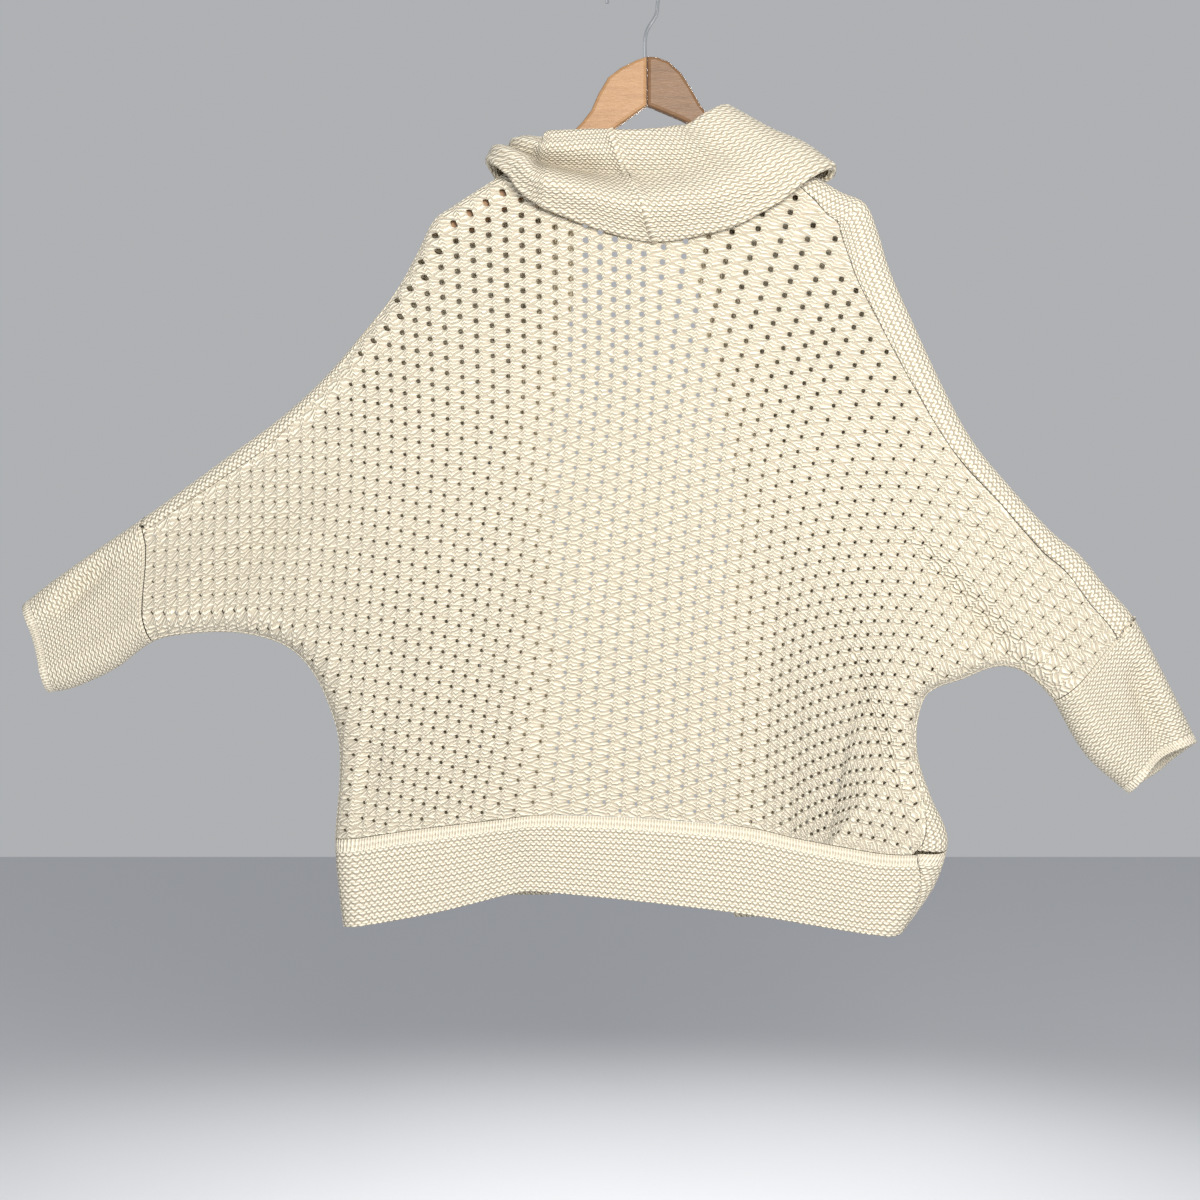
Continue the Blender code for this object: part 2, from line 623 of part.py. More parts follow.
def relaxed(sections, side):
    """The sections with their middle rows evened out, so that none bunch up or cross."""
    grid = np.array(sections)
    kept = len(end_rows(LEAST_DROP, side)) + (len(STRIP_SHARES) if side == FRONT else 0)
    last = grid.shape[1] - kept
    hold = np.sin(math.pi * (np.arange(kept, last) - kept + 1.0) / (last - kept + 1.0)) ** 2
    for _ in range(RELAX_TIMES):
        flat = grid[:, :, :2]
        beside = flat[:-2, kept:last] + flat[2:, kept:last]
        along = flat[1:-1, kept - 1:last - 1] + flat[1:-1, kept + 1:last + 1]
        here = flat[1:-1, kept:last]
        grid[1:-1, kept:last, :2] = here + hold[:, None] * (0.25 * (beside + along) - here)
    return list(grid)


def make_back_band(sections, knit):
    left, right = HALVES["left"], HALVES["right"]
    top = np.array([s[-1, 0] for s in sections[left.corner:len(sections) - right.corner]])
    top = np.concatenate([top[:1], top[:1] + LIP, top[1:-1], top[-1:] - LIP, top[-1:]])
    across = (top - top[0]) / (top[-1] - top[0])
    rows = []
    for share in BAND_ROWS:
        ends = []
        for half in (left, right):
            foot, steady, drop = half.band_foot(share)
            ends.append(foot + steady * (flat_drop(drop) + SEAM_HALF))
        x = ends[0][0] + (ends[1][0] - ends[0][0]) * across
        rows.append(on_side(band_line(x, share), BACK))
    add_wall("hem_back", [cloth(row) for row in rows], knit, facing(BACK))


def band_line(x, share):
    """Flat points at the given x and share of the way from the band's seam to the hem."""
    top = band_height(x) - SEAM_HALF
    return np.column_stack([x, top + (height_on(LINES["hem"], x) - top) * share])


def front_band_rows(half, sections):
    """Rows of a front band, from its side seam on the back to the front edge."""
    inner_x = half.places.front_x - half.sense * SEAM_HALF
    start_x = half.low(1.0)[0][0]
    top_x = np.array([s[-1, 0] for s in sections[half.corner + 1:]])
    across = np.concatenate([[0.0], (top_x - start_x) / (top_x[-1] - start_x)])
    rows = []
    for share in BAND_ROWS:
        foot, steady, drop = half.band_foot(share)
        seam = foot + steady * (flat_drop(drop) - SEAM_HALF)
        wrap = strip(seam, foot)
        wrap[:, 1] = band_line(wrap[:, 0], share)[:, 1]
        x = foot[0] + (inner_x - foot[0]) * across
        rows.append(np.vstack([wrap, on_side(band_line(x, share), FRONT)]))
    return rows


def make_cuff(half, back, front, knit):
    """A tube from the sleeve's end to the open mouth, its rings starting at the top of the outline."""
    ring = np.vstack([back, front[::-1][1:-1]])
    ring = np.roll(ring, len(STRIP_SHARES), axis=0)
    low_place = len(back) + 2 * len(STRIP_SHARES) - 1
    way = way_round(ring, low_place)
    flat = ring[:, :2]
    side = np.where(np.arange(len(ring)) > low_place, FRONT, BACK)
    sag = MOUTH_INSET[half.name] * np.sin(math.pi * way) * np.where(side == BACK, SAG_NEAR, SAG_FAR)
    bow = flat - (flat[0] + (flat[low_place] - flat[0]) * way[:, None])
    rings = []
    for share in CUFF_RINGS:
        top = half.along_cuff(half.top_line, half.top_from, half.places.mouth_top, share)
        low = half.along_cuff(half.low_line, half.low_from, half.places.mouth_low, share)
        place = top + (low - top) * way[:, None] + bow * (1.0 - share)
        place += half.sleeve_way() * (CUFF_GAP - sag[:, None] * share)
        rings.append(cloth(np.column_stack([place, side])))
    add_wall("cuff_" + half.name, rings, knit, away_from_middle, closed=True)


def way_round(ring, low_place):
    """How far down the sleeve each point of its end ring lies, from 0 at the top to 1."""
    length = lengths_along(np.vstack([ring, ring[:1]])[:, :2])
    down = length / length[low_place]
    up = (length[-1] - length) / (length[-1] - length[low_place])
    return np.where(length <= length[low_place], down, up)[:-1]


def unit(rows):
    return rows / np.linalg.norm(rows, axis=1)[:, None]


def outward_at(points):
    """Directions out of the cloth at rows of x, z and side."""
    turned = []
    for column in (0, 1):
        shift = np.zeros(3)
        shift[column] = NEAR
        turned.append(cloth(points + shift) - cloth(points - shift))
    return unit(-points[:, 2:3] * np.cross(turned[0], turned[1]))


def soften(rows):
    """Directions averaged with those beside them."""
    for _ in range(3):
        rows[1:-1] = unit(0.25 * rows[:-2] + 0.5 * rows[1:-1] + 0.25 * rows[2:])
    return rows


def make_collar(half, front, band, knit):
    """Half the shawl collar and the front band that it runs into."""
    neck = on_side(neck_points(half.name)[::-1], BACK)
    edge = front[-1][:-len(STRIP_SHARES)].copy()
    edge[:, 0] += half.sense * SEAM_HALF
    edge[0] = neck[-1]
    below = np.array([row[-1] for row in band])
    below[:, 0] += half.sense * SEAM_HALF
    seam = np.vstack([neck, edge[1:], below[1:]])
    foot = len(STRIP_SHARES) + len(neck) - 1
    place = cloth(seam)
    along = unit(np.gradient(place, axis=0))
    outer = soften(outward_at(seam))
    outer = unit(outer - along * (outer * along).sum(1)[:, None])
    inner = half.sense * np.cross(along, outer)
    travelled = lengths_along(place)
    back_length = travelled[foot]
    at = np.where(travelled <= back_length, travelled / back_length,
                  1.0 + (travelled - back_length) / (travelled[-1] - back_length))
    table = np.array(COLLAR_LEFT if half.name == "left" else COLLAR_RIGHT, dtype=float)
    along[0] = (-half.sense, 0.0, 0.0)
    outer[0] = (0.0, -1.0, 0.0)
    inner[0] = (0.0, 0.0, 1.0)
    grid = []
    for k, here in enumerate(at):
        row = Collar(here, *(np.interp(here, table[:, 0], table[:, c]) for c in range(1, table.shape[1])))
        across_seam, above, slide = collar_section(row)
        slide_way = -half.sense * along[k]
        grid.append(place[k] + np.outer(across_seam, inner[k]) + np.outer(above, outer[k])
                    + np.outer(slide, slide_way))
    lip = grid[0].copy()
    grid[0][:, 0] -= half.sense * SEAM_HALF
    lip[:, 0] -= half.sense * (SEAM_HALF + LIP)
    grid = np.array([grid[0], lip] + grid[1:])
    add_wall("collar_" + half.name, grid, knit, collar_outward, offset=0.0)


def collar_outward(mesh):
    """The band faces the front at its foot, so the last faces settle the direction."""
    count = len(mesh.polygons)
    return [(0.0, 1.0 if k > 0.9 * count else 0.0, 0.0) for k in range(count)]


def collar_section(row):
    """Distances across the seam, above the cloth and along the seam of a collar's section."""
    lean, turn = math.radians(row.lean), math.radians(row.turn)
    points = [(SEAM_HALF, -0.5 * WALL), (RUN_IN, -0.5 * WALL)]
    slide = [0.0, 0.0]
    stand = np.array([math.cos(lean), math.sin(lean)])
    for step in range(1, STAND_STEPS + 1):
        share = step / STAND_STEPS
        points.append(points[1] + stand * (row.stand - RUN_IN) * share)
        slide.append(row.slide_fold * share)
    top = points[-1]
    centre = top + row.roll * np.array([-stand[1], stand[0]])
    for step in range(1, ROLL_STEPS + 1):
        angle = lean + turn * step / ROLL_STEPS
        points.append(centre + row.roll * np.array([math.sin(angle), -math.cos(angle)]))
        slide.append(row.slide_fold)
    start = points[-1]
    way = np.array([math.cos(lean + turn), math.sin(lean + turn)])
    face = np.array([way[1], -way[0]])
    for step in range(1, FALL_STEPS + 1):
        share = step / FALL_STEPS
        swell = row.bulge * bump(share, BULGE_AT, BULGE_WIDTH)
        swell -= row.crease * bump(share, CREASE_AT, CREASE_WIDTH)
        points.append(start + way * row.fall * share + face * swell)
        slide.append(row.slide_fold + (row.slide_end - row.slide_fold) * share)
    points = np.array(points)
    return points[:, 0], points[:, 1], np.array(slide)


def bump(share, centre, width):
    return math.exp(-(((share - centre) / width) ** 2))


def make_flat_piece(name, outline, thickness, edge, material):
    """A flat outline in x and z with a thickness and rounded edges, as one closed mesh."""
    curve = bpy.data.curves.new(name, "CURVE")
    curve.dimensions = "2D"
    curve.fill_mode = "BOTH"
    curve.extrude = (0.5 * thickness - edge) * MM
    curve.bevel_depth = edge * MM
    curve.bevel_resolution = 1
    curve.offset = -edge * MM
    spline = curve.splines.new("POLY")
    spline.points.add(len(outline) - 1)
    for point, (x, z) in zip(spline.points, outline):
        point.co = (x * MM, z * MM, 0.0, 1.0)
    spline.use_cyclic_u = True
    return closed_mesh(name, curve, (math.pi / 2.0, 0.0, 0.0), material)


def closed_mesh(name, curve, rotation, material):
    """The curve as a mesh whose caps are joined to its sides."""
    shape = bpy.data.objects.new(name + "_curve", curve)
    shape.rotation_euler = rotation
    GARMENT.objects.link(shape)
    bpy.context.view_layer.update()
    evaluated = shape.evaluated_get(bpy.context.evaluated_depsgraph_get())
    mesh = bpy.data.meshes.new_from_object(evaluated)
    mesh.name = name
    item = bpy.data.objects.new(name, mesh)
    item.matrix_world = shape.matrix_world
    bpy.data.objects.remove(shape, do_unlink=True)
    work = bmesh.new()
    work.from_mesh(mesh)
    bmesh.ops.remove_doubles(work, verts=work.verts, dist=0.00005)
    bmesh.ops.recalc_face_normals(work, faces=work.faces)
    work.to_mesh(mesh)
    work.free()
    mesh.materials.clear()
    mesh.materials.append(material)
    mesh.shade_smooth()
    mesh.set_sharp_from_angle(angle=math.radians(40.0))
    GARMENT.objects.link(item)
    return item


def arm_outline(half):
    """Outline of one wooden half: the crown by hand, the hidden arm just inside the shoulder."""
    arm = ARMS[half.name]
    tip = length_near(half.top_line, arm.tip)
    crown = length_near(half.top_line, arm.crown[0])
    upper, lower = [], []
    for length in np.linspace(tip, crown, ARM_STEPS):
        foot, inward, steady = half.foot(half.top_line, length, half.sense)
        upper.append(foot + inward * ARM_INSET)
        lower.append(upper[-1] + inward * arm.depth)
    outward = (upper[0] - upper[1]) / np.linalg.norm(upper[0] - upper[1])
    middle = 0.5 * (upper[0] + lower[0]) + outward * ARM_NOSE
    crown_part = [np.array(p, float) for p in arm.crown[1:]]
    under = [np.array(p, float) for p in arm.under]
    return [middle] + upper[:-1] + crown_part + under + lower[-2::-1]


def make_hanger(woods, steel):
    wire = bpy.data.curves.new("hanger_hook", "CURVE")
    wire.dimensions = "3D"
    wire.bevel_depth = 0.5 * WIRE * MM
    wire.bevel_resolution = 2
    wire.use_fill_caps = True
    centre_z = -(HOOK_RADIUS - 0.5 * WIRE)
    start, finish = math.radians(HOOK_TIP_ANGLE), math.radians(HOOK_END_ANGLE)
    points = []
    for step in range(HOOK_STEPS + 1):
        angle = start + (finish - start) * step / HOOK_STEPS
        points.append((HOOK_RADIUS * math.cos(angle), centre_z + HOOK_RADIUS * math.sin(angle)))
    bend = smooth_line([Point(*points[-2]), Point(*points[-1])] + HOOK_STEM, 5.0)
    points += [tuple(p) for p in bend[2:]]
    spline = wire.splines.new("POLY")
    spline.points.add(len(points) - 1)
    for point, (x, z) in zip(spline.points, points):
        point.co = (x * MM, 0.0, z * MM, 1.0)
    closed_mesh("hanger_hook", wire, (0.0, 0.0, 0.0), steel)
    bpy.ops.mesh.primitive_cylinder_add(vertices=12, radius=(0.5 * WIRE + STEM_PLAY) * MM,
                                        depth=STEM_HOLE * MM)
    bore = bpy.context.object
    bore.name = "stem_bore"
    bore.location = (STEM_X * MM, 0.0, (STEM_END - SEAM_GAP + 0.5 * STEM_HOLE) * MM)
    bore.hide_render = True
    bore.display_type = "WIRE"
    cutters = collection_named("cutters")
    for collection in list(bore.users_collection):
        collection.objects.unlink(bore)
    cutters.objects.link(bore)
    for half in HALVES.values():
        name = "hanger_arm_" + half.name
        arm = make_flat_piece(name, arm_outline(half), WOOD_THICKNESS, WOOD_EDGE, woods[half.name])
        cut = arm.modifiers.new("Stem bore", "BOOLEAN")
        cut.operation = "DIFFERENCE"
        cut.object = bore


GARMENT = None
HALVES = {}


def main():
    global GARMENT
    clear_scene()
    GARMENT = collection_named("cocoon_cardigan")
    knit = make_material("cream_knit")
    HALVES["left"] = Half("left")
    HALVES["right"] = Half("right")
    back = back_sections()
    add_wall("back_panel", [cloth(s) for s in back], knit, facing(BACK))
    make_back_band(back, knit)
    for half in HALVES.values():
        front = relaxed(half.sections(FRONT, half.places.front_x) + [half.front_edge()], FRONT)
        band = front_band_rows(half, front)
        add_wall("front_" + half.name, [cloth(s) for s in front], knit, facing(FRONT))
        add_wall("hem_front_" + half.name, [cloth(row) for row in band], knit, facing(FRONT))
        cuff_edge = back[0] if half.name == "left" else back[-1]
        make_cuff(half, cuff_edge, front[0], knit)
        make_collar(half, front, band, knit)
    woods = {"left": make_material("light_wood"), "right": make_material("dark_wood")}
    make_hanger(woods, make_material("bright_steel"))


main()
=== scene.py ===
import math
import bpy
import numpy as np
from mathutils.kdtree import KDTree
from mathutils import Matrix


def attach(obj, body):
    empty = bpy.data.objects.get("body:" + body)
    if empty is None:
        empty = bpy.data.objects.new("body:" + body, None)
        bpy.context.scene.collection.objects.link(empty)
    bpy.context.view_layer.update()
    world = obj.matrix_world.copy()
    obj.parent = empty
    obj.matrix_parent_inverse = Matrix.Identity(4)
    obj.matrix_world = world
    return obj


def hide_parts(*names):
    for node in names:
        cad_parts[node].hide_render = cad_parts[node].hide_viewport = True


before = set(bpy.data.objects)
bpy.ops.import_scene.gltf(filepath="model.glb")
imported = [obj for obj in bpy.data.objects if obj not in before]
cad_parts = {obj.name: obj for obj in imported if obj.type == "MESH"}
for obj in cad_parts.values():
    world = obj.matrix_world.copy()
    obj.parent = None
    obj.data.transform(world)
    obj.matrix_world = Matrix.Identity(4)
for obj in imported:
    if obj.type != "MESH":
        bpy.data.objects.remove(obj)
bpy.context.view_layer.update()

# The shape of the hanging garment, the same as in the model. Everything is in metres.
garment = {
    "edgeRoll": 0.026,
    "shoulderDepth": 0.015,
    "bodyDepth": 0.024,
    "shoulderLevel": -0.200,
    "bodyLevel": -0.450,
    "wall": 0.003,
}
edges = {
    "shoulderLeft": [
        (-.628, -.640), (-.610, -.629), (-.581, -.606), (-.530, -.570), (-.489, -.542), (-.439, -.506),
        (-.398, -.476), (-.352, -.442), (-.309, -.403), (-.270, -.358), (-.237, -.316), (-.215, -.277),
        (-.199, -.245), (-.179, -.230), (-.133, -.200), (-.072, -.161), (.017, -.100)],
    "shoulderRight": [
        (.017, -.100), (.084, -.144), (.148, -.180), (.205, -.214), (.232, -.227), (.245, -.255),
        (.257, -.294), (.278, -.342), (.308, -.407), (.339, -.464), (.378, -.512), (.419, -.556),
        (.446, -.578), (.470, -.607), (.500, -.641), (.530, -.697), (.564, -.766), (.574, -.786)],
    "sideRight": [
        (.512, -.832), (.496, -.817), (.460, -.786), (.441, -.760), (.421, -.724), (.402, -.704),
        (.388, -.694), (.371, -.690), (.353, -.693), (.329, -.703), (.305, -.711), (.291, -.723),
        (.284, -.752), (.286, -.784), (.299, -.822), (.312, -.850), (.314, -.872), (.301, -.910),
        (.272, -.952), (.262, -.966)],
    "sideLeft": [
        (-.287, -.965), (-.289, -.949), (-.294, -.908), (-.297, -.862), (-.293, -.808), (-.293, -.770),
        (-.300, -.738), (-.318, -.698), (-.346, -.670), (-.390, -.657), (-.438, -.657), (-.479, -.665),
        (-.517, -.692), (-.558, -.711), (-.583, -.716), (-.600, -.722)],
    "bandTop": [
        (-.330, -.864), (-.295, -.862), (-.221, -.851), (-.139, -.841), (-.095, -.836), (-.030, -.837),
        (.041, -.841), (.113, -.848), (.162, -.859), (.210, -.868), (.247, -.874), (.280, -.875), (.360, -.872)],
    "hem": [
        (-.330, -.955), (-.289, -.949), (-.199, -.933), (-.126, -.915), (-.104, -.911), (-.074, -.913),
        (.016, -.922), (.113, -.934), (.210, -.950), (.240, -.954), (.272, -.952), (.300, -.950)],
    "neck": [
        (-.118, -.190), (-.107, -.205), (-.088, -.211), (-.045, -.214), (0, -.214), (.040, -.207),
        (.072, -.193), (.092, -.173), (.102, -.155)],
    "frontLeft": [
        (-.118, -.190), (-.106, -.208), (-.098, -.250), (-.110, -.330), (-.136, -.430), (-.150, -.520),
        (-.154, -.620), (-.154, -1.0)],
    "frontRight": [
        (.102, -.155), (.093, -.172), (.093, -.220), (.108, -.300), (.138, -.410), (.166, -.510),
        (.177, -.620), (.177, -1.0)],
}
# Seams inside the outline: share of the way from the cuff seam, distance inside. On top the way
# ends at the neck, low down at the band, and below that at the hem.
seams = {
    "topLeft": [(0, .014), (.28, .019), (.53, .005), (.69, .001), (.80, .001), (1, .001)],
    "lowLeft": [(0, .002), (.30, .002), (.58, .002), (.80, .001), (1, .001), (1.3, .002)],
    "topRight": [(0, .030), (.28, .022), (.58, .034), (.76, .040), (.84, .024), (1, .001)],
    "lowRight": [(0, .002), (.30, .002), (.54, .002), (.80, .006), (1, .034), (1.3, .002)],
}
# Folds: side of the garment, start, middle, end, width and depth.
back, front = -1.0, 1.0
folds = [
    (back, -.313, -.524, -.377, -.580, -.428, -.639, .017, .009),
    (back, -.390, -.542, -.432, -.584, -.474, -.626, .014, -.004),
    (back, -.254, -.761, -.259, -.796, -.265, -.832, .015, .007),
    (back, -.249, -.683, -.266, -.722, -.281, -.762, .013, -.005),
    (back, -.192, -.584, -.222, -.740, -.267, -.880, .022, -.004),
    (back, -.118, -.664, -.112, -.790, -.124, -.909, .017, -.004),
    (back, -.112, -.850, -.120, -.880, -.132, -.910, .014, .004),
    (back, .198, -.644, .238, -.758, .270, -.842, .015, .009),
    (back, .392, -.704, .345, -.648, .262, -.560, .013, .012),
    (back, .405, -.680, .362, -.624, .290, -.560, .014, -.004),
    (back, .305, -.520, .353, -.580, .404, -.662, .013, .004),
    (back, -.514, -.580, -.544, -.610, -.573, -.640, .011, .015),
    (back, .494, -.686, .506, -.720, .524, -.778, .012, .014),
    (front, -.300, -.530, -.370, -.590, -.430, -.640, .017, .008),
    (front, -.215, -.420, -.240, -.620, -.262, -.830, .020, .006),
    (front, -.200, -.640, -.206, -.760, -.214, -.900, .018, -.005),
    (front, .206, -.520, .224, -.690, .250, -.850, .020, .008),
    (front, .390, -.700, .340, -.650, .268, -.570, .015, .009),
    (front, .320, -.500, .380, -.580, .430, -.680, .016, .005),
    (front, -.520, -.590, -.550, -.620, -.578, -.660, .013, .008),
    (front, .470, -.680, .498, -.730, .520, -.785, .014, .008),
]


def smoothLine(points, spacing=0.0015):
    p = np.array(points, float)
    ends = np.vstack([2 * p[0] - p[1], p, 2 * p[-1] - p[-2]])
    t = np.linspace(0, 1, 16, endpoint=False)[:, None]
    parts = []
    for a, b, c, d in zip(ends[:-3], ends[1:-2], ends[2:-1], ends[3:]):
        pull = 0.5 * ((c - a) * t + (2 * a - 5 * b + 4 * c - d) * t**2)
        parts.append(b + pull + 0.5 * (3 * b - a - 3 * c + d) * t**3)
    dense = np.vstack(parts + [p[-1:]])
    total = wayAlong(dense)[-1]
    return atLength(dense, np.linspace(0, total, int(round(total / spacing)) + 1))


def wayAlong(line):
    return np.concatenate([[0], np.cumsum(np.linalg.norm(np.diff(line, axis=0), axis=1))])


def atLength(line, wanted):
    way = wayAlong(line)
    return np.stack([np.interp(wanted, way, line[:, k]) for k in range(line.shape[1])], axis=-1)


def wayTo(line, point):
    return wayAlong(line)[np.argmin(np.linalg.norm(line - np.array(point), axis=1))]


def ease(value):
    value = np.clip(value, 0, 1)
    return value * value * (3 - 2 * value)


def tangents(line):
    step = np.gradient(line, axis=0)
    return step / np.linalg.norm(step, axis=1)[:, None]


class Track:
    """A line in the flat plane with the cloth on its right hand."""

    def __init__(self, line, stretch=0.0):
        if stretch:
            first, last = line[0] - line[1], line[-1] - line[-2]
            first, last = first / np.linalg.norm(first), last / np.linalg.norm(last)
            line = np.vstack([line[0] + first * stretch, line, line[-1] + last * stretch])
            line = atLength(line, np.linspace(0, wayAlong(line)[-1], int(wayAlong(line)[-1] / 0.002)))
        self.line = line
        way = tangents(line)
        self.inward = np.stack([way[:, 1], -way[:, 0]], axis=1)
        self.tree = KDTree(len(line))
        for k, (x, z) in enumerate(line):
            self.tree.insert((x, z, 0), k)
        self.tree.balance()

    def nearest(self, flat):
        index = np.fromiter((self.tree.find((x, z, 0))[1] for x, z in flat), int, len(flat))
        away = flat - self.line[index]
        inward = self.inward[index].copy()
        along = np.stack([-inward[:, 1], inward[:, 0]], axis=1)
        slide = np.clip((away * along).sum(1), -0.001, 0.001)
        foot = self.line[index] + along * slide[:, None]
        away = flat - foot
        distance = np.linalg.norm(away, axis=1)
        sign = np.where((away * inward).sum(1) >= 0, 1.0, -1.0)
        far = distance > 0.0008
        inward[far] = away[far] / (sign * distance)[far, None]
        return index, foot, inward, sign * distance


lines = {name: smoothLine(points) for name, points in edges.items()}
outlineOrder = ("shoulderLeft", "shoulderRight", "sideRight", "sideLeft")
outline = Track(np.vstack([lines[name][:-1] for name in outlineOrder]))
foldLines = []
for side, x0, z0, x1, z1, x2, z2, width, depth in folds:
    share = np.linspace(0, 1, 61)[:, None]
    ends = [np.array(p) for p in ((x0, z0), (x1, z1), (x2, z2))]
    middle = 2 * ends[1] - 0.5 * (ends[0] + ends[2])
    line = (1 - share) ** 2 * ends[0] + 2 * share * (1 - share) * middle + share**2 * ends[2]
    foldLines.append((side, line, width, depth))


def flatDrop(drop):
    roll = garment["edgeRoll"]
    return drop if drop >= roll else roll * 2 / math.pi * math.acos(1 - drop / roll)


def foldDepth(flat, sides):
    depth = np.zeros(len(flat))
    for side, line, width, most in foldLines:
        low, high = line.min(0) - 3 * width, line.max(0) + 3 * width
        near = (sides == side) & (flat >= low).all(1) & (flat <= high).all(1)
        if near.any():
            distance = np.linalg.norm(flat[near][:, None, :] - line[None], axis=2)
            along = distance.argmin(1) / (len(line) - 1)
            taper = np.sin(math.pi * (0.04 + 0.92 * along)) ** 0.8
            depth[near] += most * np.exp(-((distance.min(1) / width) ** 2)) * taper
    return depth


def cloth(flat, side):
    """Flat points and the side they lie on, as points of the outer face of the garment."""
    flat = np.asarray(flat, float)
    index, foot, inward, signed = outline.nearest(flat)
    roll = garment["edgeRoll"]
    reach = np.abs(signed)
    angle = 0.5 * math.pi * np.clip(reach / roll, 0, 1)
    distance = np.where(reach < roll, roll * (1 - np.cos(angle)), reach)
    place = foot + inward * distance[:, None]
    sides = np.where(signed >= 0, side, -np.asarray(side, float))
    span = garment["shoulderLevel"] - garment["bodyLevel"]
    lower = ease((garment["shoulderLevel"] - place[:, 1]) / span)
    half = garment["shoulderDepth"] + (garment["bodyDepth"] - garment["shoulderDepth"]) * lower
    y = sides * (half - foldDepth(place, sides)) * np.sin(angle)
    return np.stack([place[:, 0], y, place[:, 1]], axis=1)


# The sewn seams run inside the outline on the back, by a direction steadier than the outline's own.
def steadyInward(line, reach=0.045):
    way = wayAlong(line)
    ahead = atLength(line, np.clip(way + reach, 0, way[-1])) - atLength(line, np.clip(way - reach, 0, way[-1]))
    ahead = ahead / np.linalg.norm(ahead, axis=1)[:, None]
    return np.stack([ahead[:, 1], -ahead[:, 0]], axis=1)


def seamPlan(name, table, start, end):
    """Feet on the outline and directions to the seam, from the cuff seam to the other end."""
    line, rows = lines[name], np.array(seams[table])
    begin, finish = wayTo(line, start), wayTo(line, end)
    if table.startswith("top"):
        begin -= 0.012 * np.sign(finish - begin)
    inward = steadyInward(line)
    wanted = np.linspace(begin, finish, int(abs(finish - begin) / 0.0024) + 2)
    way = wayAlong(line)
    feet = atLength(line, wanted)
    toward = np.stack([np.interp(wanted, way, inward[:, k]) for k in (0, 1)], axis=1)
    share = np.linspace(0, 1, len(wanted))
    flat = np.array([flatDrop(drop) for drop in np.interp(share, rows[:, 0], rows[:, 1])])
    return feet, toward, flat


seamPlans = {
    "topLeft": seamPlan("shoulderLeft", "topLeft", (-.489, -.542), (-.118, -.190)),
    "lowLeft": seamPlan("sideLeft", "lowLeft", (-.479, -.665), (-.297, -.862)),
    "topRight": seamPlan("shoulderRight", "topRight", (.500, -.641), (.102, -.155)),
    "lowRight": seamPlan("sideRight", "lowRight", (.421, -.724), (.314, -.872)),
}
seamHalf = 0.0004


def bezier(start, first, second, end):
    t = np.linspace(0, 1, 60)[:, None]
    s = 1 - t
    return s**3 * start + 3 * s**2 * t * first + 3 * s * t**2 * second + t**3 * end


cuffs = {
    "left": {"top": (-.489, -.542), "low": (-.479, -.665), "mouthTop": (-.606, -.626),
             "mouthLow": (-.583, -.716), "inset": 0.008},
    "right": {"top": (.500, -.641), "low": (.421, -.724), "mouthTop": (.564, -.766),
              "mouthLow": (.496, -.817), "inset": 0.020},
}


def cuffLine(name):
    """The seam between sleeve and cuff in the flat plane, from its top to its underside."""
    cuff = cuffs[name]
    top, low = np.array(cuff["top"]), np.array(cuff["low"])
    directions = []
    for point in (top, low):
        index = outline.nearest(point[None])[0][0]
        directions.append(outline.inward[index])
    pull = 0.3 * np.linalg.norm(low - top)
    return bezier(top, top + directions[0] * pull, low + directions[1] * pull, low)


cuffSeams = {name: cuffLine(name) for name in cuffs}
tracks = {
    "bandTop": Track(lines["bandTop"][::-1]),
    "hem": Track(lines["hem"][::-1]),
    "neck": Track(lines["neck"], 0.03),
    "frontLeft": Track(lines["frontLeft"], 0.05),
    "frontRight": Track(lines["frontRight"][::-1], 0.05),
    "cuffLeft": Track(cuffSeams["left"][::-1], 0.05),
    "cuffRight": Track(cuffSeams["right"], 0.05),
}
for name, (feet, toward, drop) in seamPlans.items():
    line = feet + toward * drop[:, None]
    if name in ("topRight", "lowLeft"):
        line = line[::-1]
    tracks[name] = Track(line, 0.03)
print("shape ready")


# ---- knit finishes
# the yarn colour runs from light, its own cream, down to shadedYarn, a painted shade colour
yarn = {
    "light": (0.93, 0.86, 0.70),
    "shadedYarn": (0.33, 0.275, 0.19),
    "roughness": 0.88,
    "sheen": 0.12,
}


